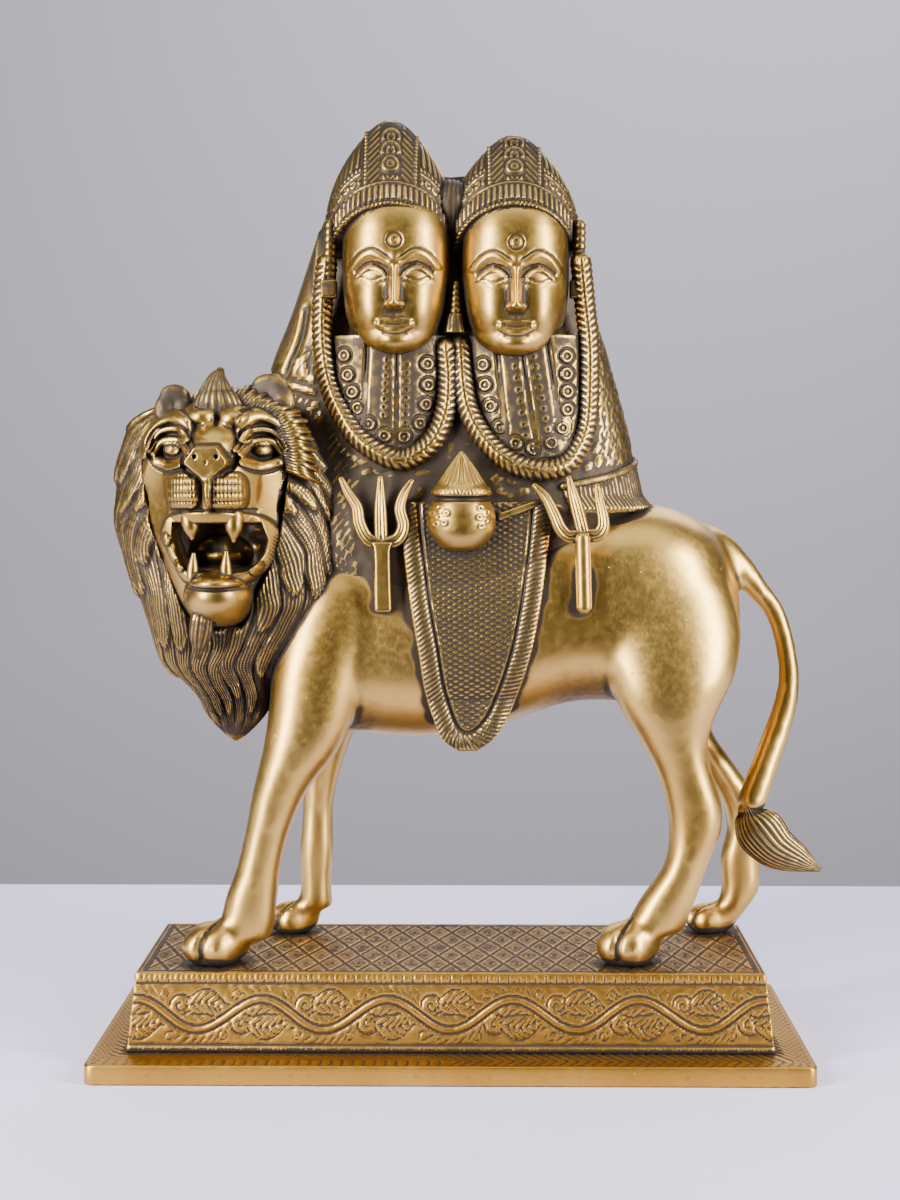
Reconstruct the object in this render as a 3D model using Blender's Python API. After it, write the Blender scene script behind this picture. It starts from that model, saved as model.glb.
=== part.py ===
"""Brass statue of a twin-headed goddess on a walking lion, standing on a stepped plinth.

Metres, +Z up. The origin is the middle of the plinth's underside. The lion walks towards -X and the
figures face -Y. The figure is drawn in units of its own height, which a scale turns into metres.
"""

import math

import bmesh
import bpy
import numpy as np
from mathutils import Matrix

# The figure, in metres.
FIGURE_HEIGHT = 0.273
PAW_GAP = 0.0003

# The plinth, in metres. Its length and depth follow the figure's stance.
HEEL_MARGIN = 0.0015
PAW_MARGIN = 0.0030
BLOCK_HEIGHT = 0.0252
BLOCK_DRAFT = 0.00275
BLOCK_EDGE = 0.0006
SLAB_HEIGHT = 0.0065
SLAB_END_STEP = 0.01125
SLAB_SIDE_STEP = 0.01350
SLAB_CORNER = 0.0030
SLAB_EDGE = 0.0007

# The vine on the block's sides, in metres.
VINE_LIFT = 0.0009
VINE_ROOT = 0.0008
VINE_WIDTH = 0.0022
VINE_SWING = 0.0046
VINE_WAVES = 5
WAVE_STEPS = 8
BORDER_WIDTH = 0.0014
BORDER_MARGIN = 0.0012
LEAF_LENGTH = 0.0085
LEAF_WIDTH = 0.0026

# The drawing of the figure: one unit is its height over DRAWN_HEIGHT, and z counts from under its paws.
DRAWN_HEIGHT = 273.0
STANCE_REACH = 99.5
STANCE_SIDE = 30.0
UNIT = FIGURE_HEIGHT / DRAWN_HEIGHT

# Fineness of the skins, in drawing units, and the number of triangles that the figure keeps.
COAT_VOXEL = 1.3
COAT_SMOOTHING = 9
SKIN_VOXEL = 0.8
FIGURE_TRIANGLES = 7600

# Where the skin keeps more of its triangles: middle x, y, z and radius, in drawing units.
FINE_PLACES = [
    (-17.6, -30, 217, 20),
    (20.6, -30, 216, 20),
    (-73, -44, 152, 34),
]
FINE_WEIGHT = 0.90

BLOCK_TOP_X = STANCE_REACH * UNIT + HEEL_MARGIN
BLOCK_TOP_Y = STANCE_SIDE * UNIT + PAW_MARGIN
BLOCK_FOOT_X = BLOCK_TOP_X + BLOCK_DRAFT
BLOCK_FOOT_Y = BLOCK_TOP_Y + BLOCK_DRAFT
SLAB_X = BLOCK_FOOT_X + SLAB_END_STEP
SLAB_Y = BLOCK_FOOT_Y + SLAB_SIDE_STEP
PLINTH_HEIGHT = SLAB_HEIGHT + BLOCK_HEIGHT

# The barrel of the lion: x, middle z, half height, half depth.
BARREL = [
    (-66, 101, 10, 9),
    (-60, 101, 23, 18),
    (-50, 105, 33, 24),
    (-35, 108.5, 35, 28),
    (-10, 108.5, 36.8, 30),
    (15, 110.5, 34.8, 30),
    (40, 115, 31.5, 28.5),
    (62, 116.3, 33, 28),
    (78, 114, 31.5, 25),
    (88, 111, 26, 18),
    (95, 109.5, 11, 8),
]
BARREL_POWER = 2.3

# Legs: x, y, z, half width, half depth, from the body down to the pastern.
NEAR_FRONT_LEG = [
    (-36, -14, 128, 12, 10),
    (-36, -17, 118, 17, 13),
    (-42, -20, 98, 15.5, 12),
    (-45, -21, 82, 14, 11),
    (-48.5, -21, 70, 12.5, 10),
    (-55, -20.5, 57, 9.2, 8.5),
    (-59.5, -20, 43, 7.4, 7.4),
    (-62.5, -19.5, 31, 7.4, 7),
    (-64.8, -19, 22, 8.6, 7.2),
    (-66, -18.5, 14, 9, 7.5),
    (-66.5, -18.5, 7, 8, 6.5),
]
FAR_FRONT_LEG = [
    (-37, 10, 112, 10, 8),
    (-38, 13, 102, 14.5, 12),
    (-38, 15, 90, 14, 12),
    (-43, 18, 68, 8.5, 8.5),
    (-46, 19.5, 46.5, 5.5, 6),
    (-46.7, 20, 30, 6, 6),
    (-47, 20.5, 18, 5.5, 5.8),
    (-47, 21, 8, 6, 6),
]
NEAR_HIND_LEG = [
    (68, -13, 124, 22, 12),
    (69, -15, 110, 25, 15),
    (71, -19, 95, 21, 13.5),
    (70.5, -20, 84, 16.3, 12),
    (72, -20, 73, 11.2, 9.5),
    (75.5, -19.5, 63, 9.2, 8),
    (78.5, -19, 54, 9.3, 7.5),
    (79.5, -18.5, 44, 8.8, 7.2),
    (76.5, -18, 32, 7.4, 7),
    (70.6, -17.5, 20, 9.4, 7.4),
    (66, -17.2, 9, 10, 7.2),
]
FAR_HIND_LEG = [
    (72, 10, 122, 12, 8),
    (73, 13, 110, 18, 12),
    (75, 15, 98, 16, 12.5),
    (78, 18, 82, 9.6, 10),
    (82.4, 19, 71, 6.8, 8),
    (89.6, 20, 61, 6.4, 6.8),
    (98.6, 22, 47.5, 6.5, 6.4),
    (101, 22.5, 37, 5.9, 6.2),
    (99.8, 23, 26, 7.2, 6.2),
    (100.2, 23, 15, 6.8, 6),
    (95.5, 23, 5, 5.2, 5),
]

# Paws: middle x, y, z, half length, half width, half height, turn about Z in degrees.
PAWS = [
    (-76.5, -19.5, 5.2, 12.5, 8.2, 8.0, 30),
    (-55, 21.5, 4.0, 9.8, 6.4, 6.4, 18),
    (58, -18.5, 5.2, 12.0, 8.2, 8.0, 26),
    (90, 23.5, 3.6, 9.8, 6.2, 6.2, 8),
]

# The tail, from inside the rump to its tuft: x, y, z, half width, half depth.
TAIL = [
    (74, 2, 135, 9, 9),
    (86, 3, 135.5, 6.4, 6.4),
    (96, 4, 128, 4.9, 4.9),
    (103, 5, 119.3, 4.0, 4.0),
    (108, 5, 113, 3.7, 3.7),
    (111.8, 5, 101, 3.6, 3.6),
    (113, 5, 89, 4.0, 3.8),
    (111.3, 4.5, 79.5, 4.4, 4.1),
    (107.8, 3, 69.3, 4.8, 4.4),
    (103.6, 0, 59, 5.0, 4.5),
    (100, -2, 50, 5.4, 4.6),
]
TUFT = [
    (98.5, -3, 47, 3.2, 2.8),
    (99.6, -3, 44.5, 6.0, 4.2),
    (102.4, -3.5, 40.6, 8.2, 5.0),
    (107.8, -4, 35, 7.2, 4.6),
    (115.5, -4.5, 31, 4.6, 3.2),
    (123, -5, 27.4, 0.8, 0.8),
]
TUFT_LOCKS = 9

# The mane as level rings: z, left, right, front, back.
MANE = [
    (185, -80, -61, -26, -14),
    (181.5, -91, -51, -33, -5),
    (175, -102, -47, -38, 4),
    (165, -107, -41, -38, 12),
    (155, -108.5, -35.5, -38, 17),
    (144, -109.3, -33, -38, 20),
    (131, -106, -33.3, -37, 20),
    (119, -101.6, -35, -36, 16),
    (111, -98.5, -40, -34, 11),
    (104, -96, -46, -32, 7),
    (97, -92.5, -54, -29, 2),
    (88, -82.8, -57.5, -26, -4),
    (81, -78.4, -60.5, -24, -9),
    (74, -73.5, -66, -20, -14),
]
MANE_LOCKS = 23

# The locks that stand up between the ears: x, z of the tip, lean towards +X.
FORELOCK = [
    (-80.5, 184.8, -2.6),
    (-77.2, 188.6, -1.2),
    (-74.2, 191.4, 0.0),
    (-71.2, 188.8, 1.0),
    (-68.0, 185.2, 2.4),
]
MANE_RELIEF = 3.0

# The shared shawl as level rings: z, left, right, front, back.
SHAWL = [
    (110, -38, 40, -26, 20),
    (120, -46, 44, -28, 24),
    (132, -56, 48, -28.5, 25),
    (142, -64, 55, -28, 25),
    (148, -67, 64.5, -27, 25),
    (152, -66.5, 61.5, -26, 24.5),
    (171, -62, 58.3, -22, 23.5),
    (191, -59.6, 53, -18, 22),
    (211, -52, 47.2, -14, 20),
    (230, -45.6, 42.8, -12, 18.5),
    (240, -42.2, 40.4, -11, 17),
    (249, -37.5, 37.3, -9, 13),
    (254, -31, 31, -7, 8.5),
    (256.5, -20, 20, -5, 4),
]
SHAWL_POWER = 2.5
SHAWL_FOLDS = 30
SHAWL_RELIEF = 0.9

# The twin figures: middle x of the face, its z, and how far the crown tip rises.
TWINS = [
    {"face_x": -17.6, "face_z": 217.0, "crown_x": -19.6, "crown_top": 272.8, "chest_x": -19.0},
    {"face_x": 20.6, "face_z": 216.2, "crown_x": 20.0, "crown_top": 267.6, "chest_x": 24.0},
]
FACE_HEIGHT = 42.0
FACE_HALF_WIDTH = 16.5
FACE_FRONT = -31.0
FACE_BACK = 2.0
# The face from chin to brow: share of its height, share of its width, how far it falls back in front.
FACE_PROFILE = [
    (0.00, 0.20, 9.0),
    (0.04, 0.44, 4.6),
    (0.11, 0.62, 2.4),
    (0.22, 0.77, 2.2),
    (0.34, 0.88, 1.4),
    (0.52, 0.99, 0.6),
    (0.72, 1.00, 0.2),
    (0.88, 0.95, 0.8),
    (1.00, 0.86, 3.4),
]
CROWN_RIM_Z = 236.0
CROWN_Y = -6.5
# The crown from its rim to its tip: share of its rise, half width, half depth.
CROWN_PROFILE = [
    (-0.22, 19.6, 19.0),
    (0.00, 20.6, 21.0),
    (0.17, 20.3, 20.2),
    (0.34, 18.9, 18.2),
    (0.50, 16.6, 15.6),
    (0.66, 13.4, 12.6),
    (0.80, 9.6, 9.2),
    (0.91, 6.2, 6.2),
    (0.98, 2.6, 3.0),
    (1.00, 0.8, 1.0),
]
CROWN_FLUTES = 22
CROWN_RELIEF = 1.7

# The garlands, one loop for each figure: x and z along the middle of the rope.
GARLANDS = [
    [(-39.6, 226), (-41, 213), (-41, 200), (-39, 188), (-35.2, 179), (-29, 170), (-19, 163.8),
     (-12.5, 164.3), (-5.5, 169.7), (-1.6, 179), (-0.8, 189), (-1.6, 199)],
    [(3, 200), (3.8, 188.6), (5.6, 179), (11, 169.7), (19, 162.7), (28.4, 160.2), (36.4, 161.8),
     (41.3, 168), (43.8, 176), (44.4, 188.6), (44.2, 201), (42.8, 213.7), (41.4, 226)],
]
GARLAND_RADIUS = 2.9

# The upright plates on the chests: left, right, foot, top.
DRESS_PLATES = [
    (-33.5, -27.2, 180, 200),
    (-26.4, -16.4, 170, 200),
    (-15.4, -5.8, 170, 198),
    (8.6, 17.0, 172, 199),
    (18.0, 27.0, 166, 199),
    (28.0, 38.5, 168, 199),
]

# The tridents: foot, joint, tips of the three tines, as x and z.
TRIDENTS = [
    {
        "foot": (-21.4, 115.2),
        "joint": (-21.8, 138.0),
        "tips": [(-33.8, 156.8), (-22.1, 158.2), (-12.1, 156.6)],
    },
    {
        "foot": (41.7, 115.4),
        "joint": (40.4, 138.0),
        "tips": [(26.6, 155.6), (36.8, 158.0), (46.1, 155.8)],
    },
]
TRIDENT_Y = -30.5

# The kalash pot, turned about a vertical line: z and radius.
KALASH_X = 3.5
KALASH_Y = -29.0
KALASH = [
    (134.6, 3.0),
    (136.0, 6.8),
    (140.5, 10.2),
    (146.0, 10.8),
    (150.0, 9.2),
    (151.6, 8.0),
    (152.8, 9.4),
    (154.4, 8.6),
    (155.4, 7.0),
    (160.0, 4.7),
    (164.0, 1.9),
    (166.4, 0.5),
]

# The saddle cloth that hangs over the near flank: z, left, right.
SADDLE_CLOTH = [
    (141, -15.6, 31.6),
    (135, -15.0, 31.0),
    (119, -13.0, 28.8),
    (103, -10.2, 25.8),
    (90, -8.2, 22.0),
    (80, -5.2, 18.0),
    (74, -2.4, 13.6),
    (69.6, 2.6, 8.6),
]
CLOTH_LIFT = 1.2
CLOTH_BORDER = 4.4
CLOTH_BORDER_LIFT = 1.9


def spline(rows, steps):
    """A smooth curve through every row, with a number of steps between neighbours."""
    rows = np.asarray(rows, float)
    ends = np.vstack([2 * rows[0] - rows[1], rows, 2 * rows[-1] - rows[-2]])
    t = np.linspace(0, 1, steps, endpoint=False)[:, None]
    spans = []
    for a, b, c, d in zip(ends, ends[1:], ends[2:], ends[3:]):
        curve = 2 * b + (c - a) * t + (2 * a - 5 * b + 4 * c - d) * t**2
        spans.append((curve + (3 * b - a - 3 * c + d) * t**3) / 2)
    return np.vstack(spans + [rows[-1:]])


def shell(rings):
    """A closed skin over rings of points, with a pole in the middle of each end ring."""
    count, sides = rings.shape[:2]
    points = np.vstack([rings.reshape(-1, 3), rings[0].mean(0), rings[-1].mean(0)])
    here = np.arange(count * sides).reshape(count, sides)
    beside = np.roll(here, -1, axis=1)
    faces = np.stack([here[:-1], beside[:-1], beside[1:], here[1:]], axis=-1).reshape(-1, 4).tolist()
    first, last = count * sides, count * sides + 1
    faces += [[b, a, first] for a, b in zip(here[0].tolist(), beside[0].tolist())]
    faces += [[a, b, last] for a, b in zip(here[-1].tolist(), beside[-1].tolist())]
    return points, faces


def superellipse(sides, power):
    """Cosine and sine round a ring, squared off as the power rises above 2."""
    turn = np.linspace(0, 2 * math.pi, sides, endpoint=False)
    cosine, sine = np.cos(turn), np.sin(turn)
    bend = 2 / power
    return turn, np.sign(cosine) * np.abs(cosine) ** bend, np.sign(sine) * np.abs(sine) ** bend


def column(rows, sides=22, steps=4, power=2.1, relief=None):
    """Level rings from rows of x, y, z, half width, half depth. Relief swells each ring."""
    path = spline(rows, steps)
    turn, cosine, sine = superellipse(sides, power)
    swell = 0 if relief is None else relief(turn[None, :], path[:, 2][:, None])
    x = path[:, 0][:, None] + (path[:, 3][:, None] + swell) * cosine
    y = path[:, 1][:, None] + (path[:, 4][:, None] + swell) * sine
    z = np.broadcast_to(path[:, 2][:, None], x.shape)
    return shell(np.stack([x, y, z], axis=-1))


def bounded_column(rows, sides, steps, power, relief=None):
    """Level rings from rows of z, left, right, front, back."""
    middles = [((a + b) / 2, (c + d) / 2, z, (b - a) / 2, (d - c) / 2) for z, a, b, c, d in rows]
    return column(middles, sides, steps, power, relief)


def barrel(rows, sides=36, steps=4):
    """Upright rings along X from rows of x, middle z, half height, half depth."""
    path = spline(rows, steps)
    _, cosine, sine = superellipse(sides, BARREL_POWER)
    x = np.broadcast_to(path[:, 0][:, None], (len(path), sides))
    y = path[:, 3][:, None] * cosine
    z = path[:, 1][:, None] + path[:, 2][:, None] * sine
    return shell(np.stack([x, y, z], axis=-1))


def tube(rows, sides=12, steps=5, relief=None):
    """Rings square to a path from rows of x, y, z, half width, half depth. Its ends are rounded."""
    path = spline(rows, steps)
    along = np.gradient(path[:, :3], axis=0)
    along /= np.linalg.norm(along, axis=1)[:, None]
    caps = [(0.5, 0.866), (0.866, 0.5), (1.0, 0.12)]
    head, tail = [], []
    for far, size in caps:
        head.insert(0, np.r_[path[0, :3] - along[0] * path[0, 3] * far, path[0, 3:] * size])
        tail.append(np.r_[path[-1, :3] + along[-1] * path[-1, 3] * far, path[-1, 3:] * size])
    along = np.vstack([[along[0]] * 3, along, [along[-1]] * 3])
    path = np.vstack([head, path, tail])
    side = np.cross(along, (0.0, 1.0, 0.0))
    side /= np.linalg.norm(side, axis=1)[:, None]
    depth = np.cross(side, along)
    turn = np.linspace(0, 2 * math.pi, sides, endpoint=False)
    share = np.linspace(0, 1, len(path))[:, None]
    size = 1 if relief is None else 1 + relief(turn[None, :], share)
    wide = (path[:, 3][:, None] * size * np.cos(turn))[:, :, None] * side[:, None, :]
    deep = (path[:, 4][:, None] * size * np.sin(turn))[:, :, None] * depth[:, None, :]
    return shell(path[:, None, :3] + wide + deep)


def ball(x, y, z, half_x, half_y, half_z, turn=0.0, sides=18):
    """An ellipsoid, turned about Z by degrees."""
    lift = np.linspace(-90, 90, sides // 2 + 1)[1:-1]
    lift = np.radians(lift)[:, None]
    round_ = np.linspace(0, 2 * math.pi, sides, endpoint=False)[None, :]
    px = half_x * np.cos(lift) * np.cos(round_)
    py = half_y * np.cos(lift) * np.sin(round_)
    pz = half_z * np.sin(lift) * np.ones_like(round_)
    cosine, sine = math.cos(math.radians(turn)), math.sin(math.radians(turn))
    rings = np.stack([x + px * cosine - py * sine, y + px * sine + py * cosine, z + pz], axis=-1)
    points, faces = shell(rings)
    points[-2] = (x, y, z - half_z)
    points[-1] = (x, y, z + half_z)
    return points, faces


def ridges(phase, sharpness=1.0):
    """Rounded ridges with narrow grooves between them, from 0 in a groove to 1 on a ridge."""
    return np.abs(np.sin(phase / 2)) ** sharpness


def slab_between(front, back):
    """A closed plate between two grids of points of the same shape."""
    rows, columns = front.shape[:2]
    here = np.arange(rows * columns).reshape(rows, columns)
    there = here + rows * columns
    near = np.stack([here[:-1, :-1], here[:-1, 1:], here[1:, 1:], here[1:, :-1]], axis=-1).reshape(-1, 4)
    far = np.stack([there[:-1, :-1], there[1:, :-1], there[1:, 1:], there[:-1, 1:]], axis=-1).reshape(-1, 4)
    edge = np.concatenate([here[0], here[1:, -1], here[-1, -2::-1], here[-2:0:-1, 0]])
    beyond = np.roll(edge, -1)
    wall = np.stack([beyond, edge, edge + rows * columns, beyond + rows * columns], axis=-1)
    points = np.vstack([front.reshape(-1, 3), back.reshape(-1, 3)])
    return points, np.vstack([near, far, wall]).tolist()


def joined(shells):
    """The points and faces of many skins in one list."""
    points, faces, base = [], [], 0
    for skin_points, skin_faces in shells:
        points.append(np.asarray(skin_points, float))
        faces += [[base + index for index in face] for face in skin_faces]
        base += len(skin_points)
    return np.vstack(points), faces


def new_object(name, points, faces):
    mesh = bpy.data.meshes.new(name)
    mesh.from_pydata([tuple(point) for point in points], [], faces)
    work = bmesh.new()
    work.from_mesh(mesh)
    bmesh.ops.recalc_face_normals(work, faces=work.faces)
    work.to_mesh(mesh)
    work.free()
    obj = bpy.data.objects.new(name, mesh)
    bpy.context.scene.collection.objects.link(obj)
    return obj


def evaluated(obj):
    """A plain mesh of what the object's modifiers make."""
    graph = bpy.context.evaluated_depsgraph_get()
    return bpy.data.meshes.new_from_object(obj.evaluated_get(graph))


def brass(name, colour, roughness):
    material = bpy.data.materials.new(name)
    material.use_nodes = True
    shader = material.node_tree.nodes["Principled BSDF"]
    shader.inputs["Base Color"].default_value = (*colour, 1.0)
    shader.inputs["Roughness"].default_value = roughness
    shader.inputs["Metallic"].default_value = 1.0
    return material


def flank_y(x, z):
    """How far forward the near side of the barrel stands at x and z, as a negative y."""
    rows = np.asarray(BARREL, float)
    middle, height, depth = (np.interp(x, rows[:, 0], rows[:, k]) for k in (1, 2, 3))
    share = np.clip(np.abs(z - middle) / height, 0, 0.985)
    return -depth * (1 - share**BARREL_POWER) ** (1 / BARREL_POWER)


def shawl_y(x, z):
    """How far forward the shawl's front stands at x and z, as a y."""
    rows = np.asarray(SHAWL, float)
    left, right, front, back = (np.interp(z, rows[:, 0], rows[:, k]) for k in (1, 2, 3, 4))
    share = np.clip(np.abs(x - (left + right) / 2) / ((right - left) / 2), 0, 0.97)
    return (front + back) / 2 - (back - front) / 2 * (1 - share**SHAWL_POWER) ** (1 / SHAWL_POWER)


def chest_y(x, z):
    """How far forward the nearer of the two chests or the shawl stands at x and z."""
    nearest = shawl_y(x, z)
    for twin in TWINS:
        share = np.clip(np.abs(x - twin["chest_x"]) / 21.0, 0, 1)
        nearest = np.minimum(nearest, -10.0 - 14.0 * np.sqrt(1 - share**2) + 0 * z)
    return nearest


def coat():
    """The lion's smooth body: barrel, four legs with paws, and the bare tail."""
    shells = [barrel(BARREL), tube(TAIL, sides=14)]
    for leg in (NEAR_FRONT_LEG, FAR_FRONT_LEG, NEAR_HIND_LEG, FAR_HIND_LEG):
        shells.append(column(leg))
    for x, y, z, length, width, height, turn in PAWS:
        shells.append(ball(x, y, z, length, width, height, turn))
    return shells


def toes():
    """Two toes on each paw with a cleft between them, and a dew claw behind."""
    shells = []
    for x, y, z, length, width, height, turn in PAWS:
        cosine, sine = math.cos(math.radians(turn)), math.sin(math.radians(turn))
        for side in (-0.48, 0.48):
            tip_x = x - 0.42 * length * cosine - side * width * sine
            tip_y = y - 0.42 * length * sine + side * width * cosine
            shells.append(ball(tip_x, tip_y, z, 0.68 * length, 0.53 * width, 0.92 * height, turn, 14))
    return shells


def mane():
    """The mane mass with S-shaped locks that run from the crown of the head to the breast."""

    def locks(turn, z):
        sweep = 0.55 * np.sin((z - 96) / 15) + 0.35 * np.sin((z - 60) / 31)
        tips = 0.5 + 0.5 * np.cos((z - 90) / 9 + 2.0 * np.sin(3 * turn))
        fade = np.clip((190 - z) / 20, 0, 1) * np.clip((z - 74) / 12, 0, 1)
        lock = ridges(MANE_LOCKS * turn + 5 * sweep, 0.8) * (0.75 + 0.4 * tips)
        return MANE_RELIEF * fade * (lock - 0.75)

    return [bounded_column(MANE, 184, 6, 2.15, locks)]


def lion_face():
    """Skull, brow, eyes, muzzle, open mouth with fangs, chin, beard, ears and forelock."""
    shells = [
        ball(-72.8, -25, 166, 22, 19, 19),
        ball(-73.5, -24, 146, 20, 17, 30),
        ball(-87, -27, 149, 8.5, 13, 19),
        ball(-58.5, -25, 149, 8.5, 13, 19),
        ball(-74, -38, 156, 11, 13, 9),
        ball(-80.6, -44.5, 153.6, 7.4, 8.6, 6.8),
        ball(-67.6, -44.5, 153.6, 7.4, 8.6, 6.8),
        ball(-73.4, -52.3, 163, 6.4, 3.2, 3.6),
        ball(-72.6, -37.5, 121.0, 10.2, 9.5, 8.6),
        ball(-72.8, -37, 130.8, 7.0, 8.0, 2.6),
        ball(-88.6, -25, 180.0, 6.8, 4.6, 5.9, 12),
        ball(-57.2, -23, 182.8, 7.8, 4.6, 6.2, -12),
        ball(-79.0, -37, 177.5, 5.5, 6.0, 5.0),
        ball(-67.5, -37, 177.5, 5.5, 6.0, 5.0),
    ]
    for x, turn in ((-87.0, 14), (-59.2, -14)):
        shells.append(ball(x, -38.2, 166.8, 4.8, 4.6, 3.9, turn))
        upper_lid = ((-7.6, -36, 166), (-3.4, -41.4, 171.6), (3.4, -41.4, 171.6), (7.6, -36, 166))
        lower_lid = ((-7.0, -35, 165), (-3.2, -40.6, 160.8), (3.2, -40.6, 160.8), (7.0, -35, 165))
        shells.append(tube([(x + across, y, z, 1.5, 1.5) for across, y, z in upper_lid], 10))
        shells.append(tube([(x + across, y, z, 1.4, 1.4) for across, y, z in lower_lid], 10))
    left_brow = [
        (-94.5, -30, 171, 2.2, 2.2),
        (-87, -39.5, 176.3, 2.9, 2.6),
        (-77.8, -44.6, 170.4, 2.5, 2.4),
    ]
    right_brow = [
        (-69.2, -44.6, 170.4, 2.5, 2.4),
        (-59.6, -39.5, 176.3, 2.9, 2.6),
        (-50.6, -28, 171, 2.2, 2.2),
    ]
    bridge = [(-73.2, -40, 178, 4.2, 3), (-73.6, -46, 171, 4.4, 3.4), (-73.8, -50, 165, 5.2, 3.2)]
    philtrum = [(-73.9, -51.8, 160, 1.4, 1.6), (-74.2, -52.6, 150, 1.6, 1.6)]
    upper_lip = [
        (-90, -30, 139, 1.8, 1.8),
        (-87.2, -39, 146.4, 2.2, 2.2),
        (-80.4, -48.6, 146.4, 2, 2),
        (-74.2, -50.4, 147.4, 1.8, 1.8),
        (-67.6, -48.4, 146, 2, 2),
        (-58.6, -39, 144.8, 2.4, 2.4),
        (-55.2, -30, 138.6, 2.4, 2.4),
    ]
    lower_lip = [
        (-88, -30, 136, 1.6, 1.6),
        (-84.6, -38, 130, 2.2, 2.2),
        (-79.6, -45, 127, 2.3, 2.3),
        (-72.8, -46.8, 126.2, 2.4, 2.4),
        (-65.6, -44.8, 127.2, 2.3, 2.3),
        (-59.8, -37, 131, 2.2, 2.2),
        (-56.6, -29, 137, 1.6, 1.6),
    ]
    beard = [(-77.4, -39, 114, 3.6, 3.2), (-78.2, -38, 107, 3.2, 2.6), (-79.2, -36, 100.6, 0.8, 0.8)]
    shells += [tube(roll, 12) for roll in (left_brow, right_brow, bridge)]
    shells += [tube(roll, 10) for roll in (philtrum, upper_lip, lower_lip, beard)]
    for x, top, tip, y in ((-80.1, 146, 138.2, -46.8), (-67.3, 146, 137.4, -46.4)):
        shells.append(tube([(x, y, top, 2.3, 2.0), (x, y, tip, 0.6, 0.6)], 8))
    for x, root, tip, y in ((-79.4, 126, 135.4, -43.6), (-69.4, 126, 135.8, -44.4)):
        shells.append(tube([(x, y, root, 2.1, 1.9), (x, y, tip, 0.6, 0.6)], 8))
    for x, tip, lean in FORELOCK:
        lock = [(x, -27, 175, 3.2, 3.0), (x + lean / 2, -30, 182, 2.8, 2.4), (x + lean, -29, tip, 0.6, 0.6)]
        shells.append(tube(lock, 8))
    return shells


def tail_tuft():
    """A leaf-shaped tuft with combed locks."""

    def locks(turn, share):
        return 0.16 * np.sin(math.pi * share) * (ridges(TUFT_LOCKS * turn + 3 * share) - 0.6)

    return [tube(TUFT, sides=54, steps=5, relief=locks)]


def shawl():
    """The shared shawl: folds that fall from the heads down the sides and back to the lion's back."""

    def folds(turn, z):
        behind = np.clip(0.55 + np.sin(turn), 0, 1)
        fade = np.clip((z - 118) / 20, 0, 1) * np.clip((252 - z) / 12, 0, 1)
        fold = ridges(SHAWL_FOLDS * turn + 0.8 * np.sin(z / 17), 0.9)
        return SHAWL_RELIEF * behind * fade * (fold - 0.6)

    return [bounded_column(SHAWL, 160, 5, SHAWL_POWER, folds)]


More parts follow.
